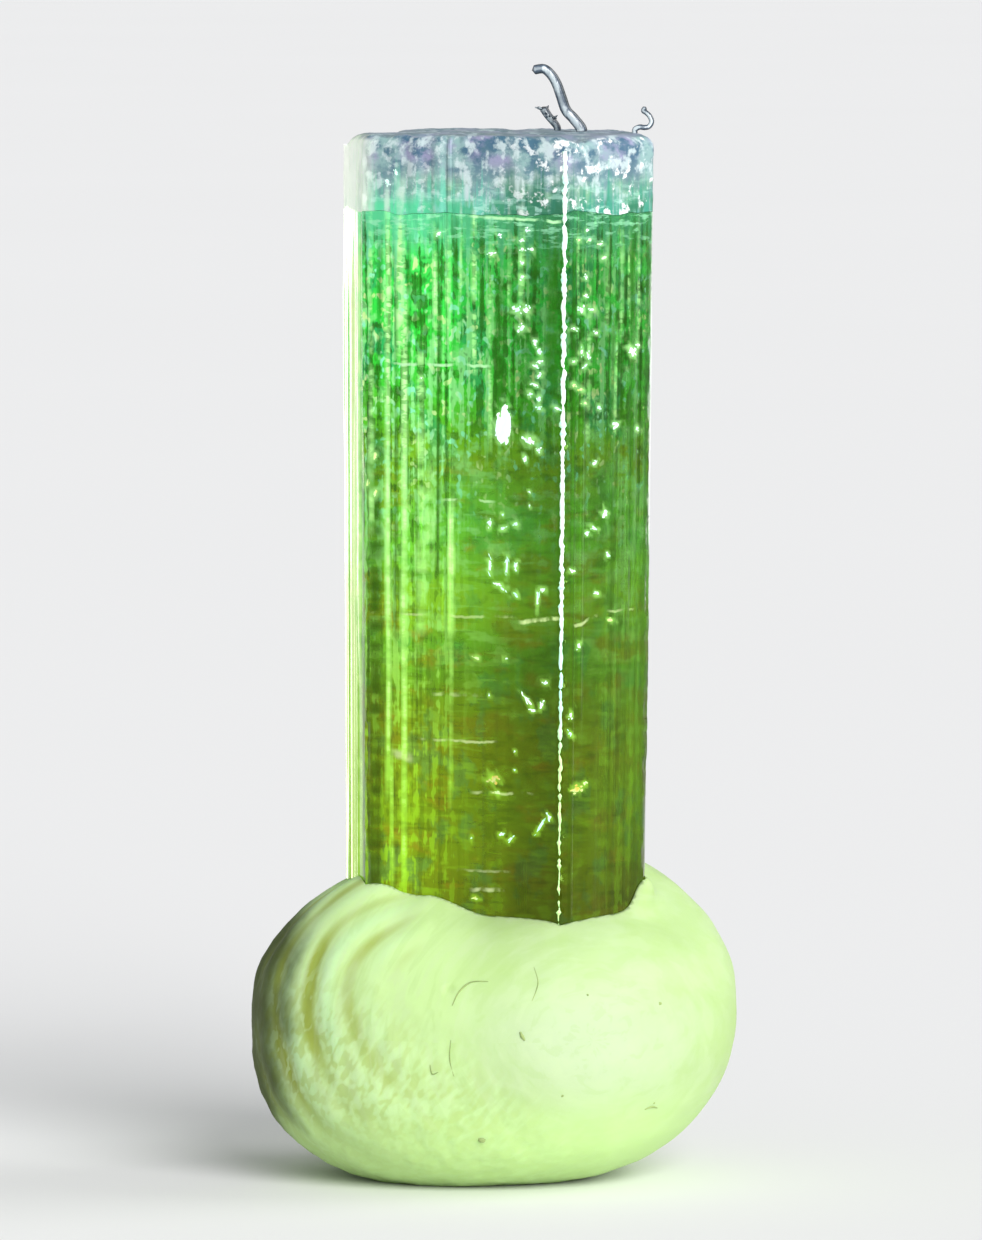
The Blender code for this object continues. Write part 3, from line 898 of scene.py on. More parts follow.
def patched(n, settings, growth, height, pale, dark):
    """The zones' greens, with olive clouds, amber low down, and soft patches of light and dark."""
    clouds = n.streaky(growth, 1.1, 2.3, detail=4.0, distortion=0.2)
    base = ramp(n, n.plus(height, n.swing(clouds, 0.7)), 2.0, 11.4, ZONES)
    base = n.layer(base, settings.olive, n.remap(clouds, 0.52, 0.66), n.remap(height, 9.2, 5.0, 0.15, 0.85))
    amber = n.spots(n.scaled(growth, (1.7, 3.4, 1.0)), 1.0, 0.62, 0.08)
    base = n.layer(base, settings.amber, amber, n.remap(height, 8.4, 7.6, 0.0, 0.6))
    teal = n.remap(n.streaky(growth, 2.3, 1.6, detail=4.0, roughness=0.6), 0.52, 0.60)
    base = n.layer(base, (0.02, 0.40, 0.14), teal, n.remap(height, 7.6, 8.4, 0.25, 0.8))
    patches = n.streaky(growth, 3.2, 4.6, detail=3.0, distortion=0.15)
    base = n.layer(base, pale, n.remap(patches, 0.55, 0.64, 0.0, 0.45))
    base = n.layer(base, dark, n.remap(patches, 0.46, 0.34), n.remap(height, 6.8, 8.4, 0.30, 0.65))
    strokes = n.streaky(growth, 2.0, 11.0, detail=2.0, distortion=0.2)
    low_down = n.remap(height, 8.6, 7.2)
    base = n.layer(base, pale, n.remap(strokes, 0.57, 0.66, 0.0, 0.30), low_down)
    return n.layer(base, dark, n.remap(strokes, 0.44, 0.34, 0.0, 0.30), low_down)


def streaked(n, base, growth, across, height, striae, pale, dark):
    """Growth streaks, strongest at the left, at the right edge and high up, with pale and dark beads."""
    at_sides = n.most(n.remap(across, 1.0, 1.5, 0.0, 0.9), n.remap(across, -0.55, -0.75, 0.0, 0.6))
    streaky = n.plus(n.most(at_sides, n.remap(height, 7.6, 8.6, 0.0, 0.9)), 0.12)
    blocks = n.streaky(growth, 9.0, 6.0, detail=2.0)
    texture = n.plus(n.times(striae, 0.6), n.times(blocks, 0.4))
    base = n.layer(base, pale, n.remap(texture, 0.53, 0.58), n.times(streaky, 0.75))
    darker = n.times(streaky, n.remap(height, 5.0, 8.4, 0.35, 0.80))
    base = n.layer(base, dark, n.remap(texture, 0.48, 0.43), darker)
    beads = n.streaky(growth, 12.0, 9.0, detail=1.0)
    beaded = n.times(n.remap(height, 6.4, 8.8, 0.01, 1.0), n.remap(texture, 0.44, 0.54, 0.15, 1.0))
    hue = n.remap(n.noise(growth, 2.0, detail=1.0), 0.42, 0.58)
    bead = n.mix(hue, (0.72, 1.0, 0.40), (0.30, 1.0, 0.62))
    base = n.layer(base, bead, n.remap(beads, 0.57, 0.64), beaded)
    return n.layer(base, dark, n.remap(beads, 0.38, 0.32), n.remap(height, 7.0, 9.0, 0.05, 0.40))


def cracked(n, base, growth, height):
    """Fine cracks across the crystal, yellower low down."""
    wobble = n.streaky(growth, 5.0, 3.0, detail=3.0)
    shade = n.mix(n.remap(height, 6.6, 8.0), (0.88, 1.0, 0.50), (0.62, 1.0, 0.60))
    labels = ("Start", "End", "Start Height", "End Height", "Half Width", "Strength")
    for crack in CRACKS:
        inputs = {"Growth": growth, "Wobble": wobble, **dict(zip(labels, crack))}
        base = n.layer(base, shade, n.group("crack", inputs))
    return base


def cap_material(settings):
    """The frosted cap: grey, lilac and steel-blue, with white sparkles, green below and a painted highlight
    at its left corner.
    """
    finish, n, shader = new_material(
        "tourmaline_frosted", Roughness=0.45, IOR=1.62, Transmission_Weight=0.2, Specular_IOR_Level=0.2,
        Emission_Strength=0.3,
    )
    spot = n.spot()
    growth = n.add("ShaderNodeUVMap", uv_map="growth")
    across, height, _ = n.split(growth)
    lilac = n.spots(spot, 2300.0, 0.50, 0.10)
    pits = n.spots(spot, 6000.0, 0.57, 0.08)
    cloud = n.spots(n.scaled(growth, (1.0, 0.8, 1.0)), 6.5, 0.55, 0.06)
    striae = n.streaky(growth, 15.0, 0.5, detail=5.0, roughness=0.6)
    base = n.layer(settings.cap, (0.33, 0.32, 0.50), lilac)
    base = n.layer(base, (0.24, 0.50, 0.28), n.spots(spot, 2300.0, 0.47, 0.11), n.remap(height, 11.15, 10.7))
    steel = n.spots(n.scaled(spot, (1.0, 1.0, 1.5)), 3200.0, 0.52, 0.07)
    base = n.layer(base, (0.05, 0.14, 0.22), steel, n.remap(height, 10.8, 11.2, 0.45, 0.95))
    base = n.layer(base, (0.10, 0.20, 0.24), pits, 0.55)
    base = n.layer(base, (0.68, 0.80, 0.80), cloud, 0.75)
    # The frost group climbs into its haze. The cap's haze lies at its foot, so it is turned over for it.
    frost = {
        "Base": base, "Growth": growth, "Height": n.minus(2 * FROST_MIDDLE, height), "Streaks": striae,
        "Haze": around(n, across, HAZES), "Blotch": (0.52, 0.90, 0.75, 1.0),
    }
    base = n.group("frost", frost)
    drips = n.remap(n.streaky(growth, 8.0, 2.4, detail=3.0), 0.48, 0.54)
    green_drips = with_painted_shading(n, (0.08, 0.62, 0.30), across)
    base = n.layer(base, green_drips, drips, n.remap(height, 10.74, 10.58, 0.0, 0.9))
    sparkle = n.spots(spot, 6500.0, 0.60, 0.03)
    base = n.layer(base, (0.96, 1.0, 1.0), sparkle, n.remap(across, 0.9, 0.0, 0.3, 1.0))
    # Painted highlight: the cap's left corner is made pale, with pale lines, and gives off a little light,
    # though it is no lamp.
    upright = n.split(n.add("ShaderNodeNewGeometry", output="Normal"))["Z"]
    corner = n.times(n.remap(across, 2.15, 2.42), n.remap(across, 3.95, 3.75), n.remap(upright, 0.75, 0.4))
    lit = n.times(corner, n.remap(cloud, 0.0, 1.0, 0.78, 0.95))
    lines = n.times(n.remap(striae, 0.40, 0.55), n.remap(across, 2.45, 2.75, 0.4, 1.0))
    lines = n.mix(lines, (0.80, 0.95, 0.76), (1.0, 1.0, 0.98))
    base = n.layer(base, lines, lit)
    n.link(n.layer((0.0, 0.0, 0.0), lines, lit), shader.inputs["Emission Color"])
    base = n.layer(base, (0.72, 0.92, 0.76), n.attribute("pale_streaks"), n.remap(lilac, 1.0, 0.0, 0.15, 0.9))
    top = n.layer(n.mix(lilac, (0.15, 0.23, 0.27), (0.27, 0.32, 0.42)), (0.50, 0.62, 0.64), pits, 0.8)
    n.link(n.layer(base, top, n.remap(upright, 0.70, 0.95, 0.0, 0.95)), shader.inputs["Base Color"])
    grain = n.group("grain", {"Place": spot, "Scale": 7000.0})
    n.link(n.bump(grain, 0.8, 0.015 * MM), shader.inputs["Normal"])
    return finish


class SPECIMEN_OT_add_crystal(bpy.types.Operator):
    """Add the tourmaline crystal, with its frosted cap"""

    bl_idname = "specimen.add_crystal"
    bl_label = "Crystal"

    def execute(self, context):
        settings = context.scene.specimen_crystal
        body = new_piece("crystal_body", body_mesh(settings), body_material(settings), 14)
        cap = new_piece("crystal_cap", cap_mesh(settings), cap_material(settings), 30)
        for made in (body, cap):
            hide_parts("tourmaline_crystal")
        return {"FINISHED"}


def glint_material():
    """Bright breaks in the skin, partly pale flecks and partly painted reflection that glows: white, cyan or
    yellow by their tone.
    """
    finish, n, shader = new_material("glint", Roughness=0.25, Emission_Strength=0.35)
    base = ramp(n, n.attribute("tone"), 0.0, 2.0, GLINT_TONES, "LINEAR")
    base = n.layer(base, (0.30, 0.75, 0.40), n.spots(n.spot(), 14000.0, 0.48, 0.12), 0.35)
    n.link(base, shader.inputs["Base Color"])
    n.link(base, shader.inputs["Emission Color"])
    return finish


SHARD_SEED = 5
SHARD_SIDES = 11
SHARD_THICKNESS = 0.004 * MM
# A glint has the fewest shards, and more by its half width times its half height, in square millimetres.
FEWEST_SHARDS = 3
MORE_SHARDS = 900
# The small shards' size and how far out they lie, as shares of the glint.
SMALL_SHARDS = (0.14, 0.36)
SCATTER = (0.35, 1.0)
# The main shard's size as a share of its glint, also where the glint's half height is over TALL_GLINT
# millimetres.
MAIN_SHARD = 0.62
TALL_GLINT_SHARD = 0.95
TALL_GLINT = 0.2
# How ragged a shard's outline is, as shares of its size. Shards with a half height over TALL_SHARD are
# smoother.
TALL_SHARD = 0.15 * MM
TALL_RAGGED = (0.88, 1.02)
SMALL_RAGGED = (0.5, 1.15)
# The line of bruises along the front edge.
EDGE_FOOT = 2.80 * MM
EDGE_TOP = 11.20 * MM
EDGE_STEPS = 300
EDGE_SIDES = 8


def add_shard(bm, tone_layer, centre, right, up, out, sizes, tone, draw):
    """A flat shard with a ragged outline, highest in its middle."""
    half_width, half_height, thickness = sizes
    least, most = TALL_RAGGED if half_height > TALL_SHARD else SMALL_RAGGED
    ring = []
    for turn in turns(SHARD_SIDES):
        ragged = draw.uniform(least, most)
        off = right * (math.cos(turn) * half_width) + up * (math.sin(turn) * half_height)
        ring.append(bm.verts.new(centre + off * ragged))
    front = bm.verts.new(centre + out * thickness)
    back = bm.verts.new(centre - out * thickness)
    for vert in (*ring, front, back):
        vert[tone_layer] = tone
    for i in range(SHARD_SIDES):
        j = (i + 1) % SHARD_SIDES
        bm.faces.new((ring[i], ring[j], front))
        bm.faces.new((ring[j], ring[i], back))


class SPECIMEN_OT_add_glints(bpy.types.Operator):
    """Add the bright breaks on the crystal's skin and the bruises along its front edge, partly painted
    highlight
    """

    bl_idname = "specimen.add_glints"
    bl_label = "Glints"

    def execute(self, context):
        prism = Prism(context.scene.specimen_crystal)
        finish = glint_material()
        self.add_breaks(prism, finish)
        self.add_bruised_edge_and_highlight(prism, finish)
        return {"FINISHED"}

    def add_breaks(self, prism, finish):
        """Each glint is a cluster: a main shard and small ones scattered over its oval."""
        draw = random.Random(SHARD_SEED)
        bm = bmesh.new()
        tone_layer = bm.verts.layers.float.new("tone")
        for place, height, half_width, half_height, degrees, tone in GLINTS:
            tilt = math.radians(degrees)
            count = FEWEST_SHARDS + round(MORE_SHARDS * half_width * half_height)
            for k in range(count):
                turn = draw.uniform(0, math.tau)
                reach = 0.0 if k == 0 else draw.uniform(*SCATTER)
                whole = TALL_GLINT_SHARD if half_height > TALL_GLINT else MAIN_SHARD
                size = whole if k == 0 else draw.uniform(*SMALL_SHARDS)
                across = reach * math.cos(turn) * half_width
                up = reach * math.sin(turn) * half_height
                at = (place - across * math.cos(tilt) - up * math.sin(tilt)) * MM
                level = (height - across * math.sin(tilt) + up * math.cos(tilt)) * MM
                sizes = (half_width * size * MM, half_height * size * MM, SHARD_THICKNESS)
                shade = tone + draw.uniform(0.0, 0.5)
                turned = tilt + (draw.uniform(-0.5, 0.5) if k > 0 else 0.0)
                self.add_break(bm, tone_layer, prism, at, level, turned, sizes, shade, draw)
        made = new_piece("skin_breaks", bm, finish, 40)

    def add_break(self, bm, tone_layer, prism, place, height, tilt, sizes, tone, draw):
        """One shard that lies on the skin at this place round and up the crystal."""
        place = place % prism.girth
        centre = prism.place(place, height, out=0.001 * MM)
        out = prism.outward(place)
        turned = Matrix.Rotation(-tilt, 3, out)
        right = turned @ Vector((0, 0, 1)).cross(out)
        up = turned @ Vector((0, 0, 1))
        add_shard(bm, tone_layer, centre, right, up, out, sizes, tone, draw)

    def add_bruised_edge_and_highlight(self, prism, finish):
        """A beaded white line along the sharp front edge: tiny bruises, and a painted highlight that glows a
        little.
        """
        bm = bmesh.new()
        tone_layer = bm.verts.layers.float.new("tone")
        loops = []
        for k in range(EDGE_STEPS + 1):
            height = EDGE_FOOT + (EDGE_TOP - EDGE_FOOT) * k / EDGE_STEPS
            coarse = noise.noise(Vector((height / (0.22 * MM), 3.0, 0.0)))
            fine = noise.noise(Vector((height / (0.05 * MM), 9.0, 0.0)))
            risen = (height - EDGE_FOOT) / (EDGE_TOP - EDGE_FOOT)
            wide = 0.011 + 0.014 * min(1.0, 2 * risen)
            radius = max(0.004, wide + 0.014 * coarse + 0.026 * fine) * MM
            sway = 0.016 * MM * noise.noise(Vector((height / (0.12 * MM), 5.0, 0.0)))
            centre = prism.place(0.034 * MM + sway, height, out=-0.008 * MM)
            loop = []
            for turn in turns(EDGE_SIDES):
                vert = bm.verts.new(centre + Vector((math.cos(turn), math.sin(turn), 0)) * radius)
                vert[tone_layer] = max(0.0, min(1.4, 2.6 * (1 - 2.2 * risen)), 0.9 * coarse + 1.5 * fine)
                loop.append(vert)
            loops.append(loop)
        skin_over(bm, loops)
        bmesh.ops.recalc_face_normals(bm, faces=bm.faces)
        made = new_piece("bruised_edge", bm, finish, 50)


# ----------------------------------------------------------------- the putty


# How far the top of the putty rises over its waist round the crystal: degrees from the front, and height.
PUTTY_RISES = (
    (-180, 1.80 * MM), (-90, 1.66 * MM), (-60, 1.80 * MM), (-30, 1.57 * MM), (0, 1.34 * MM), (25, 1.40 * MM),
    (60, 1.37 * MM), (90, 1.82 * MM), (180, 1.80 * MM),
)
SMEAR_AT = Vector((0.716, -0.337, 0.611)).normalized()
SMEAR_REACH = math.radians(7.2)
SMEAR_HEIGHT = 0.42 * MM
RIDGE_POLE = Vector((-0.21, -0.96, 0.18)).normalized()
RIDGE_TURN = math.radians(12.9)
RIDGE_FIRST = math.radians(9.8)
RIDGE_LAST = math.radians(78)
RIDGE_REACH = math.radians(75)
RINGS_PER_RIDGE = 10
PUTTY_COLUMNS = 280
# How high the lumps, pebbles and soft dents of its skin are, in millimetres.
LUMP_HEIGHT = 0.05
PEBBLE_HEIGHT = 0.011
DENT_HEIGHT = 0.012
SOCKET_GAP = 0.006 * MM
# Places along each side of the socket, as shares. The next side begins at its corner.
SOCKET_SHARES = (0.0, 0.25, 0.5, 0.75, 0.999)


# The ball's fullness: 2 is an ellipse, and more is boxier. Its foot is fuller at the left, and fuller still
# in front and behind.
TOP_FULLNESS = 2.1
FOOT_FULLNESS = 2.52
FOOT_FULLER_LEFT = 0.08
FOOT_FULLER_FRONT = 0.35
# How far the ball would reach below the surface that it stands on, before it is cut flat.
FLATTENING = 0.10 * MM
# How much higher its waist lies at the right, and lower at the left.
WAIST_TILT = 0.09 * MM


def rise_at(turn):
    """How far the ball rises over its waist, at this many degrees from the front towards the right."""
    for (start, low), (end, high) in zip(PUTTY_RISES, PUTTY_RISES[1:]):
        if turn <= end:
            share = (turn - start) / (end - start)
            return low + (high - low) * share ** 2 * (3 - 2 * share)
    return PUTTY_RISES[-1][1]


def squeezed(settings, direction):
    """The point of the smooth squeezed ball in this direction from its middle."""
    wide = direction.x / settings.half_width
    deep = direction.y / settings.half_depth
    across = math.hypot(wide, deep)
    side = wide / max(across, 1e-9)
    front = 1 - side ** 2
    if direction.z < 0:
        fullness = FOOT_FULLNESS - FOOT_FULLER_LEFT * side + FOOT_FULLER_FRONT * front
        rise = settings.waist + FLATTENING
    else:
        fullness = TOP_FULLNESS
        rise = rise_at(math.degrees(math.atan2(wide, -deep)))
    reach = (across ** fullness + (abs(direction.z) / rise) ** fullness) ** (-1 / fullness)
    point = direction * reach
    tilt = WAIST_TILT * point.x / settings.half_width
    return Vector((point.x, point.y, settings.waist + tilt + point.z))


def ridge_shape(turned, round_pole):
    """The finger ridges here, from -1 in a valley to 1 on a crest, fading towards their ends."""
    along = max(0.0, 1 - (round_pole / RIDGE_REACH) ** 2)
    outwards = min(1.0, turned / (3 * RIDGE_TURN)) * (1 if turned < RIDGE_LAST else 0)
    return along * outwards * math.cos(math.tau * (turned - RIDGE_FIRST) / RIDGE_TURN)


def putty_point(settings, direction, turned, round_pole):
    """The putty's surface in this direction, and how high the finger ridge is there."""
    smooth = squeezed(settings, direction)
    lumps = LUMP_HEIGHT * noise.noise(smooth / (1.5 * MM) + Vector((4.1, 0.0, 2.3)))
    wander = 0.12 * noise.noise(smooth / (0.7 * MM)) * RIDGE_TURN
    uneven = max(0.35, min(1.0, 0.80 + 0.8 * noise.noise(smooth / (0.8 * MM) + Vector((7, 7, 7)))))
    shape = uneven * ridge_shape(turned + wander, round_pole)
    low_left = (1.1 * MM - 0.6 * smooth.x - 1.0 * (smooth.z - 1.2 * MM)) / (2.2 * MM)
    pebbled = max(0.10, min(1.0, low_left))
    brushed = Vector((smooth.x * 1.3 + smooth.z * 0.5, smooth.y, smooth.z * 0.9 - smooth.x * 0.5))
    pebbles = noise.noise(brushed / (0.16 * MM)) + 0.6 * noise.noise(smooth / (0.075 * MM))
    soft = noise.noise(smooth / (0.35 * MM) + Vector((1, 5, 3)))
    out = (lumps + PEBBLE_HEIGHT * pebbles * pebbled + DENT_HEIGHT * soft) * MM
    out += settings.ridge_height * shape
    smear = SMEAR_HEIGHT * math.exp(-(direction.angle(SMEAR_AT) / SMEAR_REACH) ** 2)
    return smooth + direction * (out + smear), shape


def putty_mesh(settings):
    """The squeezed ball with its lumps and finger ridges, cut flat where it stands."""
    count = round(math.pi / (RIDGE_TURN / RINGS_PER_RIDGE))
    left = Vector((-1, 0, 0))
    left = (left - RIDGE_POLE * left.dot(RIDGE_POLE)).normalized()
    above = RIDGE_POLE.cross(left)
    bm = bmesh.new()
    ridges = bm.verts.layers.float.new("finger_ridges")
    loops = []
    for ring in range(1, count):
        turned = math.pi * ring / count
        loop = []
        for k in range(PUTTY_COLUMNS):
            round_pole = math.tau * k / PUTTY_COLUMNS - math.pi
            outwards = left * math.cos(round_pole) + above * math.sin(round_pole)
            direction = RIDGE_POLE * math.cos(turned) + outwards * math.sin(turned)
            point, shape = putty_point(settings, direction, turned, round_pole)
            vert = bm.verts.new(point)
            vert[ridges] = shape
            loop.append(vert)
        loops.append(loop)
    skin_over(bm, loops, (squeezed(settings, RIDGE_POLE), squeezed(settings, -RIDGE_POLE)))
    everything = [*bm.verts, *bm.edges, *bm.faces]
    cut = bmesh.ops.bisect_plane(
        bm, geom=everything, plane_co=(0, 0, 0), plane_no=(0, 0, -1), clear_outer=True
    )
    rim = [part for part in cut["geom_cut"] if isinstance(part, bmesh.types.BMEdge)]
    bmesh.ops.edgeloop_fill(bm, edges=rim)
    for axis in (0, 1):
        low = min(vert.co[axis] for vert in bm.verts)
        high = max(vert.co[axis] for vert in bm.verts)
        for vert in bm.verts:
            vert.co[axis] -= (low + high) / 2
    bmesh.ops.recalc_face_normals(bm, faces=bm.faces)
    return bm


def press_socket(made, crystal_settings):
    """Cuts the crystal's foot out of the putty."""
    prism = Prism(crystal_settings)
    gap = SOCKET_GAP + crystal_settings.rib_depth
    bm = bmesh.new()
    loops = []
    for height in (crystal_settings.foot - gap, crystal_settings.foot + 4 * MM):
        loop = []
        for k, side in enumerate(prism.sides):
            outward = Vector((-prism.alongs[k].y, prism.alongs[k].x))
            for share in SOCKET_SHARES:
                bulge = 4 * BULGE * side * share * (1 - share)
                flat = prism.corners[k] + prism.alongs[k] * (side * share) + outward * (bulge + 0.4 * gap)
                loop.append(bm.verts.new(prism.stood(flat, height)))
        loops.append(loop)
    skin_over(bm, loops)
    bmesh.ops.recalc_face_normals(bm, faces=bm.faces)
    cutter = mesh_object("socket_cutter", bm)
    cut = made.modifiers.new("socket", "BOOLEAN")
    cut.operation = "DIFFERENCE"
    cut.solver = "EXACT"
    cut.object = cutter
    evaluated = made.evaluated_get(bpy.context.evaluated_depsgraph_get())
    pressed = bpy.data.meshes.new_from_object(evaluated)
    made.modifiers.clear()
    made.data = pressed
    bpy.data.objects.remove(cutter)


# How far the strokes in the putty's skin slant, in degrees.
STROKE_SLANT = -38


def brush_strokes(n, spot):
    """Short slanted strokes, as a value round a half."""
    inputs = {"Vector": spot, "Angle": math.radians(STROKE_SLANT)}
    turned = n.add("ShaderNodeVectorRotate", inputs, rotation_type="Y_AXIS")
    return n.noise(n.scaled(turned, (1.0, 1.0, 0.4)), 11000.0, detail=1.0)


def swirls(n, x, z):
    """Faint strokes in rings round a place on the putty's front right, and how far off that place is."""
    x = n.minus(x, 1.05 * MM)
    z = n.times(n.minus(z, 1.7 * MM), 1.25)
    reach = n.math("SQRT", n.plus(n.times(x, x), n.times(z, z)))
    turned = n.math("ARCTAN2", z, x)
    rings = n.add("ShaderNodeCombineXYZ", {0: n.times(reach, 6500.0), 1: n.times(turned, 2.6)})
    return n.noise(rings, 1.0, detail=3.0, distortion=0.6), reach


def putty_material(settings):
    """Soft pale putty with a brushed skin, painted light and shade on its ridges and sides, and light that
    sinks in a little.
    """
    finish, n, shader = new_material(
        "putty_skin", Roughness=0.6, Subsurface_Weight=0.25, Subsurface_Scale=0.00025,
        Subsurface_Radius=(0.8, 1.0, 0.4), Specular_IOR_Level=0.14,
    )
    spot = n.spot()
    x, y, z = n.split(spot)
    base = n.mix(n.spots(spot, 900.0, 0.48, 0.25), settings.lime, settings.cream)
    # Painted light: the left middle of the putty's front is painted paler, as if lit.
    lit = n.times(n.remap(x, 0.3 * MM, -1.2 * MM, 0.0, 0.75), n.remap(x, -2.5 * MM, -1.9 * MM))
    base = n.layer(base, (0.57, 0.79, 0.34), lit)
    ridges = n.attribute("finger_ridges")
    # Painted light and shade on the finger ridges: crests painted paler, valleys darker.
    base = n.layer(base, settings.crest_highlight, n.remap(ridges, 0.0, 0.9, 0.0, 0.8))
    base = n.layer(base, settings.valley_shade, n.remap(ridges, -0.05, -0.85, 0.0, 0.85))
    low_left = n.remap(n.plus(x, n.times(z, 1.5)), 2.6 * MM, 0.4 * MM)
    brush = brush_strokes(n, spot)
    base = n.layer(base, (0.36, 0.46, 0.08), n.remap(brush, 0.52, 0.40), n.times(low_left, 0.42))
    base = n.layer(base, (0.60, 0.82, 0.44), n.remap(brush, 0.54, 0.64), n.times(low_left, 0.40))
    rings, reach = swirls(n, x, z)
    in_front = n.remap(y, 0.2 * MM, -0.8 * MM)
    base = n.layer(base, (0.50, 0.60, 0.40), n.remap(reach, 1.4 * MM, 0.2 * MM, 0.0, 0.75), in_front)
    base = n.layer(base, (0.50, 0.62, 0.36), n.remap(rings, 0.50, 0.64, 0.0, 0.22))
    base = n.layer(base, (0.33, 0.50, 0.15), n.remap(rings, 0.47, 0.36, 0.0, 0.18))
    # Painted light: the putty is painted paler low down, near the floor.
    base = n.layer(base, (0.53, 0.76, 0.30), n.remap(z, 1.3 * MM, 0.4 * MM, 0.0, 0.8))
    # Painted shade: the left edge, which turns away from the light, is painted dark, fading out towards the
    # back.
    edge = n.plus(x, n.swing(n.noise(spot, 1500.0, detail=3.0), 0.7 * MM))
    edge = n.minus(edge, n.times(ridges, 0.12 * MM))
    edge = n.minus(edge, n.remap(z, 2.1 * MM, 2.8 * MM, 0.0, 0.28 * MM))
    painted_shade = n.times(n.remap(edge, -2.02 * MM, -2.66 * MM), n.remap(y, 0.8 * MM, 0.0, 0.0, 0.94))
    n.link(n.layer(base, settings.shade, painted_shade), shader.inputs["Base Color"])
    grain = n.group("grain", {"Place": spot, "Scale": 6000.0})
    relief = n.plus(n.times(grain, 0.5), n.times(brush, low_left))
    n.link(n.bump(relief, 0.5, 0.012 * MM), shader.inputs["Normal"])
    return finish


class SPECIMEN_OT_add_putty(bpy.types.Operator):
    """Add the ball of putty, with the socket that holds the crystal"""

    bl_idname = "specimen.add_putty"
    bl_label = "Putty"

    def execute(self, context):
        settings = context.scene.specimen_putty
        made = new_piece("putty", putty_mesh(settings), putty_material(settings), 60)
        press_socket(made, context.scene.specimen_crystal)
        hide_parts("putty_base")
        return {"FINISHED"}


# Fibres on the front of the putty: half thickness, then their route right and up, in millimetres.
LINT = (
    (0.010, ((-0.446, 2.10), (-0.374, 2.24), (-0.248, 2.34), (-0.064, 2.35))),
    (0.020, ((0.278, 1.82), (0.302, 1.77), (0.327, 1.73))),
    (0.006, ((0.427, 2.49), (0.470, 2.35), (0.445, 2.24), (0.406, 2.15))),
    (0.007, ((-0.462, 1.73), (-0.474, 1.53), (-0.430, 1.34))),
    (0.008, ((-0.684, 1.46), (-0.662, 1.36), (-0.598, 1.38))),
    (0.011, ((1.622, 0.90), (1.700, 0.92), (1.757, 0.90))),
)
# Specks on the front of the putty: how far right and up, and half width, in millimetres.
SPECKS = (
    (1.78, 2.05, 0.024), (-0.13, 0.63, 0.045), (1.00, 2.19, 0.014), (0.73, 1.11, 0.016), (1.72, 0.96, 0.012),
)


# How far a fibre stands off and thins towards its ends, as shares of its half thickness.
LINT_LIFT = 0.3
LINT_THINNING = 0.6
# How many sides the thin tubes have.
THIN_SIDES = 8
# A speck's width, depth and height as shares, how ragged it is and over what length.
SPECK_SHAPE = (1.0, 0.35, 0.8, 1.0)
SPECK_RAGGEDNESS = 0.35
SPECK_GRAIN = 0.02 * MM


def lint_material(settings):
    """Thin, dull green fibres and specks."""
    finish, n, shader = new_material("lint_fibre", Roughness=0.7)
    worn = n.spots(n.spot(), 9000.0, 0.5, 0.2)
    n.link(n.mix(worn, settings.lint, (0.36, 0.46, 0.16)), shader.inputs["Base Color"])
    return finish


class SPECIMEN_OT_add_lint(bpy.types.Operator):
    """Add the fibres and specks that stick to the putty"""

    bl_idname = "specimen.add_lint"
    bl_label = "Lint"

    def execute(self, context):
        putty = bpy.data.objects["putty"]
        bm = bmesh.new()
        bm.from_mesh(putty.data)
        skin = BVHTree.FromBMesh(bm)
        bm.free()
        bm = bmesh.new()
        for half_thickness, route in LINT:
            points = [self.on_putty(skin, right, up, LINT_LIFT * half_thickness) for right, up in route]
            tube(
                bm, smooth_route(points, 6),
                lambda share, half=half_thickness: half * MM * (1 - LINT_THINNING * abs(2 * share - 1)),
                THIN_SIDES,
            )
        for right, up, half_width in SPECKS:
            centre = self.on_putty(skin, right, up, 0.0)
            stretch = Matrix.Translation(centre) @ Matrix.Diagonal(SPECK_SHAPE)
            made = bmesh.ops.create_icosphere(bm, subdivisions=2, radius=half_width * MM, matrix=stretch)
            for vert in made["verts"]:
                ragged = SPECK_RAGGEDNESS * noise.noise(vert.co / SPECK_GRAIN)
                vert.co += (vert.co - centre) * ragged
        bmesh.ops.recalc_face_normals(bm, faces=bm.faces)
        new_piece("lint", bm, lint_material(context.scene.specimen_filaments), 60)
        return {"FINISHED"}

    def on_putty(self, skin, right, up, lift):
        """The point on the putty's front at this place right and up, lifted off by this many millimetres."""
        start = Vector((right, -10.0, up)) * MM
        spot, normal, _, _ = skin.ray_cast(start, Vector((0, 1, 0)))
        if spot is None:
            raise RuntimeError("the lint misses the putty")
        return spot + normal * lift * MM


# ------------------------------------------------------------- the filaments


# Each filament: radius at the root and at the tip, then its route right and back from the origin and up from
# the crystal's top, all in millimetres.
FILAMENTS = {
    "curled_filament": (0.062, 0.052, (
        (0.95, 0.30, 0.00), (0.94, 0.30, 0.04), (0.86, 0.29, 0.14), (0.78, 0.28, 0.23), (0.73, 0.27, 0.37),
        (0.68, 0.26, 0.51), (0.62, 0.25, 0.61), (0.54, 0.24, 0.675), (0.44, 0.24, 0.665),
    )),
    "short_filament": (0.038, 0.046, (
        (0.69, 0.55, 0.00), (0.685, 0.55, 0.04), (0.64, 0.55, 0.10), (0.59, 0.55, 0.16), (0.54, 0.55, 0.235),
    )),
    "hooked_filament": (0.030, 0.026, (
        (1.52, -0.45, 0.00), (1.52, -0.45, 0.04), (1.57, -0.45, 0.065), (1.62, -0.45, 0.06),
        (1.67, -0.44, 0.07), (1.70, -0.43, 0.12), (1.68, -0.42, 0.18), (1.64, -0.41, 0.22),
        (1.61, -0.40, 0.24), (1.63, -0.40, 0.27),
    )),
}
FILAMENT_SIDES = 20
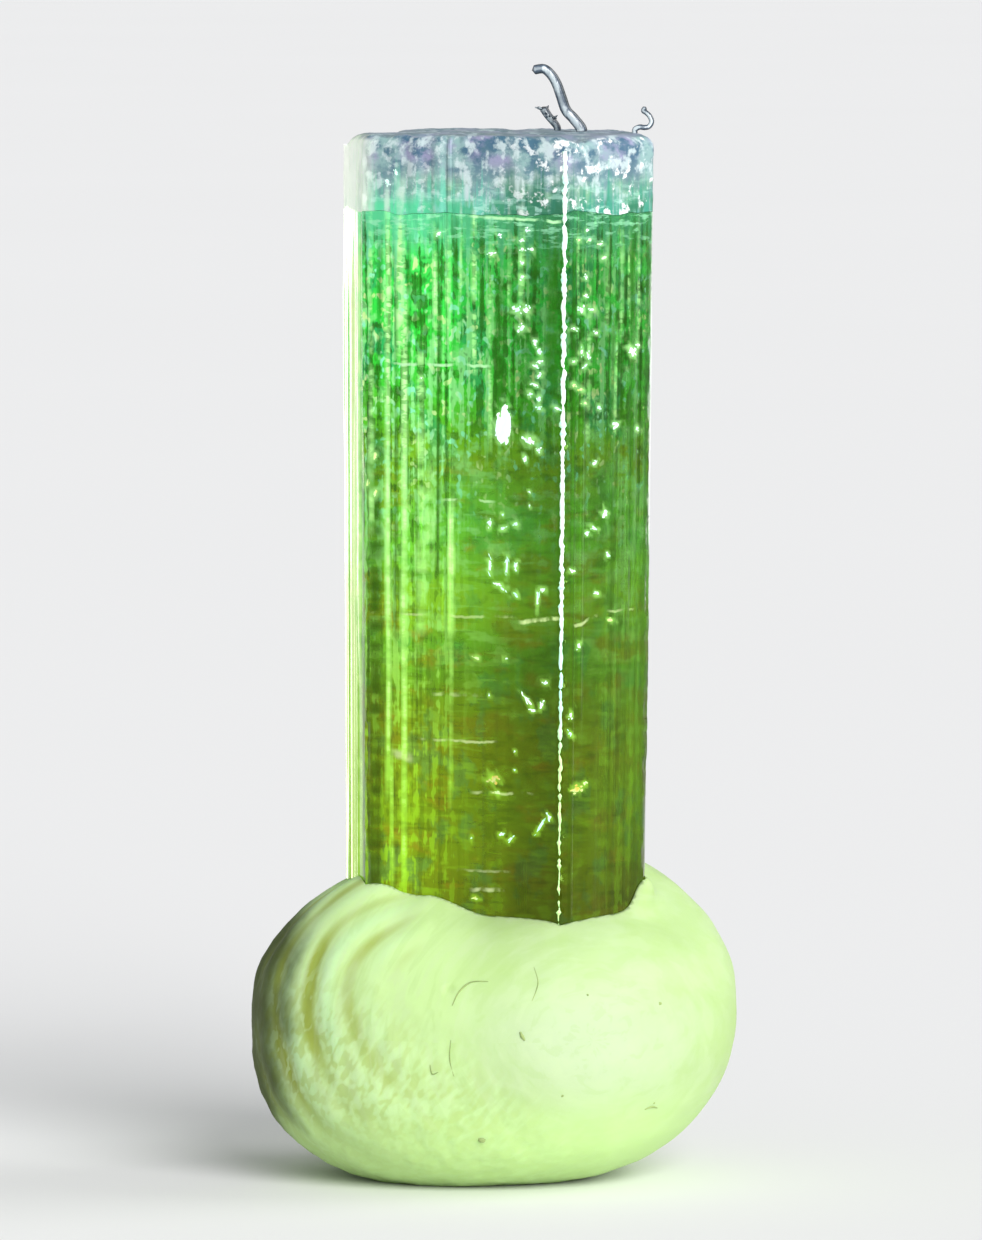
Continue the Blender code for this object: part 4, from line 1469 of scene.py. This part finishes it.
# How far a tube's end is domed, in radii.
DOME = 0.6
TUFT_SEED = 8
TUFT_SPIKES = 14
# The spikes' least and greatest length, and their radius at the root and how much of it goes, in millimetres.
SPIKE_LENGTHS = (0.065, 0.100)
SPIKE_RADIUS = 0.020
SPIKE_THINNING = 0.015


def smooth_route(points, steps):
    """A smooth curve through these points, with this many steps between each two."""
    route = []
    for k in range(len(points) - 1):
        before = points[max(k - 1, 0)]
        start = points[k]
        end = points[k + 1]
        after = points[min(k + 2, len(points) - 1)]
        for step in range(steps):
            t = step / steps
            route.append(
                0.5 * (
                    2 * start + (end - before) * t + (2 * before - 5 * start + 4 * end - after) * t ** 2
                    + (3 * start - before - 3 * end + after) * t ** 3
                )
            )
    route.append(points[-1])
    return route


def tube(bm, route, radius_at, sides):
    """A round tube along a route, with domed ends."""
    loops = []
    across = (route[1] - route[0]).orthogonal().normalized()
    for k, point in enumerate(route):
        ahead = (route[min(k + 1, len(route) - 1)] - route[max(k - 1, 0)]).normalized()
        across = (across - ahead * across.dot(ahead)).normalized()
        beside = ahead.cross(across)
        radius = radius_at(k / (len(route) - 1))
        loop = []
        for turn in turns(sides):
            loop.append(bm.verts.new(point + (across * math.cos(turn) + beside * math.sin(turn)) * radius))
        loops.append(loop)
    first = (route[0] - route[1]).normalized() * radius_at(0) * DOME
    last = (route[-1] - route[-2]).normalized() * radius_at(1) * DOME
    skin_over(bm, loops, (route[0] + first, route[-1] + last))


def filament_material(settings):
    """Clear, steely fibre, painted with a highlight along its middle and shade at its flanks, with pale
    streaks along it.
    """
    finish, n, shader = new_material(
        "filament_glass", Roughness=0.18, IOR=1.5, Transmission_Weight=0.3, Specular_IOR_Level=0.8,
    )
    spot = n.spot()
    streaks = n.spots(n.scaled(spot, (1.0, 1.0, 0.25)), 9000.0, 0.50, 0.10)
    # Painted light and shade: faces turned one fixed way are pale as a highlight, and the flanks dark as
    # shade.
    facing = {0: n.add("ShaderNodeNewGeometry", output="Normal"), 1: (0.35, 0.93, -0.10)}
    core = n.math("ABSOLUTE", n.add("ShaderNodeVectorMath", facing, output=1, operation="DOT_PRODUCT"))
    core = n.plus(core, n.swing(streaks, 0.22))
    painted_light_and_shade = (
        (0.0, (0.02, 0.03, 0.03)), (0.50, (0.05, 0.07, 0.09)), (0.76, settings.steel), (0.93, settings.pale),
    )
    n.link(ramp(n, core, 0.0, 1.0, painted_light_and_shade, "LINEAR"), shader.inputs["Base Color"])
    grain = n.group("grain", {"Place": spot, "Scale": 16000.0})
    n.link(n.bump(grain, 0.5, 0.008 * MM), shader.inputs["Normal"])
    return finish


class SPECIMEN_OT_add_filaments(bpy.types.Operator):
    """Add the three filaments on the crystal's top"""

    bl_idname = "specimen.add_filaments"
    bl_label = "Filaments"

    def execute(self, context):
        finish = filament_material(context.scene.specimen_filaments)
        top = context.scene.specimen_crystal.top
        for name, (root, tip, route) in FILAMENTS.items():
            points = [Vector(point) * MM + Vector((0, 0, top)) for point in route]
            bm = bmesh.new()
            route = smooth_route(points, 5)
            tube(
                bm, route, lambda share, root=root, tip=tip: (root + (tip - root) * share) * MM,
                FILAMENT_SIDES,
            )
            if name == "short_filament":
                self.add_tuft(bm, route)
            bmesh.ops.recalc_face_normals(bm, faces=bm.faces)
            made = new_piece(name + "_glass", bm, finish, 60)
            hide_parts(name)
        return {"FINISHED"}

    def add_tuft(self, bm, route):
        """Broken spikes that stick out round the torn end of the short filament."""
        draw = random.Random(TUFT_SEED)
        ahead = (route[-1] - route[0]).normalized()
        for turn in turns(TUFT_SPIKES):
            root = route[-1 - round(draw.uniform(0, 10))]
            sideways = Vector((math.cos(turn), math.sin(turn), 0.0))
            towards = (sideways + ahead * draw.uniform(0.1, 0.9)).normalized()
            reach = draw.uniform(*SPIKE_LENGTHS) * MM
            spike = [root, root + towards * reach * 0.6, root + towards * reach + ahead * 0.006 * MM]
            tube(bm, spike, lambda share: (SPIKE_RADIUS - SPIKE_THINNING * share) * MM, THIN_SIDES)


# ----------------------------------------------------------------- the stage


# The room's broad lights: name, the way the light goes, strength, and how broad it looks in degrees.
SUNS = (("front_sun", (-0.44, 0.79, -0.43), 3.7, 40), ("side_sun", (-0.85, -0.14, -0.50), 0.95, 36))

# Panels that light the crystal alone: name, place, width and height in millimetres, radiance, tint, and
# whether the crystal mirrors it.
PANELS = (
    ("right_panel", (90, 10, 30), 110, 90, 2.0, (1.0, 1.0, 1.0), False),
    ("back_panel", (18, 75, 30), 110, 90, 1.3, (1.0, 1.0, 1.0), True),
    ("front_left_panel", (-34, -40, 24), 36, 60, 2.6, (1.0, 1.0, 1.0), False),
    ("left_strip", (-9.4, 26.4, 17), 6, 36, 2.1, (0.92, 1.0, 0.62), True),
)


# The place that the camera aims at.
AIM = Vector((-0.033, 0.0, 6.057)) * MM
SENSOR_WIDTH = 36.0
FLOOR_HALF_WIDTH = 2.5


class SPECIMEN_OT_add_stage(bpy.types.Operator):
    """Add the floor, the soft lights and the camera"""

    bl_idname = "specimen.add_stage"
    bl_label = "Stage"

    def execute(self, context):
        settings = context.scene.specimen_stage
        self.add_floor(settings)
        self.add_lights(context)
        self.add_camera(context, settings)
        context.scene.view_settings.view_transform = "Standard"
        return {"FINISHED"}

    def add_floor(self, settings):
        """A wide, faintly mottled floor."""
        finish, n, shader = new_material("floor", Roughness=0.9, Specular_IOR_Level=0.1)
        shade = n.noise(n.spot(), 30.0, detail=2.0)
        darker = tuple(0.985 * part for part in settings.floor)
        n.link(n.mix(shade, darker, settings.floor), shader.inputs["Base Color"])
        bm = bmesh.new()
        bmesh.ops.create_grid(bm, x_segments=8, y_segments=8, size=FLOOR_HALF_WIDTH)
        floor = mesh_object("floor", bm)
        floor.data.materials.append(finish)

    def add_lights(self, context):
        """An even room, two broad suns, and panels that light the crystal and that the camera doesn't see."""
        world = bpy.data.worlds.new("soft_room")
        world.use_nodes = True
        n = Nodes(world.node_tree)
        direct = n.add("ShaderNodeLightPath", output="Is Camera Ray")
        background = world.node_tree.nodes["Background"]
        n.link(n.mix(direct, (0.42, 0.425, 0.44), (0.82, 0.82, 0.823)), background.inputs["Color"])
        context.scene.world = world
        for name, towards, energy, degrees in SUNS:
            sun = bpy.data.lights.new(name, "SUN")
            sun.angle = math.radians(degrees)
            sun.energy = energy
            made = new_object(name, sun)
            made.rotation_euler = Vector(towards).to_track_quat("-Z", "Y").to_euler()
        shown = bpy.data.collections.new("shown_in_crystal")
        shown.objects.link(bpy.data.objects["crystal_body"])
        whole = bpy.data.collections.new("shown_in_the_whole_crystal")
        for name in ("crystal_body", "crystal_cap"):
            whole.objects.link(bpy.data.objects[name])
        for name, place, wide, tall, radiance, tint, mirrored in PANELS:
            light = bpy.data.lights.new(name, "AREA")
            light.shape = "RECTANGLE"
            light.size = wide * MM
            light.size_y = tall * MM
            light.energy = radiance * math.pi * light.size * light.size_y
            light.color = tint
            made = new_object(name, light)
            made.location = Vector(place) * MM
            towards = Vector((-place[0], -place[1], 0.0))
            made.rotation_euler = towards.to_track_quat("-Z", "Y").to_euler()
            made.visible_camera = False
            made.visible_glossy = mirrored
            made.light_linking.receiver_collection = whole if name == "left_strip" else shown

    def add_camera(self, context, settings):
        """A long lens, aimed at the middle of the view."""
        camera = bpy.data.cameras.new("camera")
        camera.sensor_width = SENSOR_WIDTH
        camera.lens = camera.sensor_width * settings.camera_distance / settings.picture_height
        camera.clip_start = 1 * MM
        camera.clip_end = 10.0
        made = new_object("camera", camera)
        rise = settings.camera_height
        back = Vector((0.0, -math.cos(rise), math.sin(rise)))
        made.location = AIM + back * settings.camera_distance
        made.rotation_euler = (math.pi / 2 - rise, 0.0, 0.0)
        context.scene.camera = made


# ------------------------------------------------------------------ the panel


class SPECIMEN_PT_panel(bpy.types.Panel):
    """Lists the pieces of the specimen"""

    bl_label = "Specimen"
    bl_idname = "SPECIMEN_PT_panel"
    bl_space_type = "VIEW_3D"
    bl_region_type = "UI"
    bl_category = "Specimen"

    def draw(self, context):
        for operator in OPERATORS:
            self.layout.operator(operator.bl_idname)


OPERATORS = (
    SPECIMEN_OT_add_crystal,
    SPECIMEN_OT_add_glints,
    SPECIMEN_OT_add_putty,
    SPECIMEN_OT_add_lint,
    SPECIMEN_OT_add_filaments,
    SPECIMEN_OT_add_stage,
)
SETTINGS = {
    "specimen_crystal": CrystalSettings,
    "specimen_putty": PuttySettings,
    "specimen_filaments": FilamentSettings,
    "specimen_stage": StageSettings,
}


def register():
    """Registers the settings, the operators and the panel."""
    for group_class in SETTINGS.values():
        bpy.utils.register_class(group_class)
    for operator in (*OPERATORS, SPECIMEN_PT_panel):
        bpy.utils.register_class(operator)
    for name, group_class in SETTINGS.items():
        setattr(bpy.types.Scene, name, bpy.props.PointerProperty(type=group_class))


def unregister():
    """Takes them out again."""
    for name in SETTINGS:
        delattr(bpy.types.Scene, name)
    for operator in (*OPERATORS, SPECIMEN_PT_panel):
        bpy.utils.unregister_class(operator)
    for group_class in SETTINGS.values():
        bpy.utils.unregister_class(group_class)


def main():
    """Builds every piece and the stage."""
    register()
    bpy.ops.specimen.add_crystal()
    bpy.ops.specimen.add_glints()
    bpy.ops.specimen.add_putty()
    bpy.ops.specimen.add_lint()
    bpy.ops.specimen.add_filaments()
    bpy.ops.specimen.add_stage()


if __name__ == "__main__":
    main()
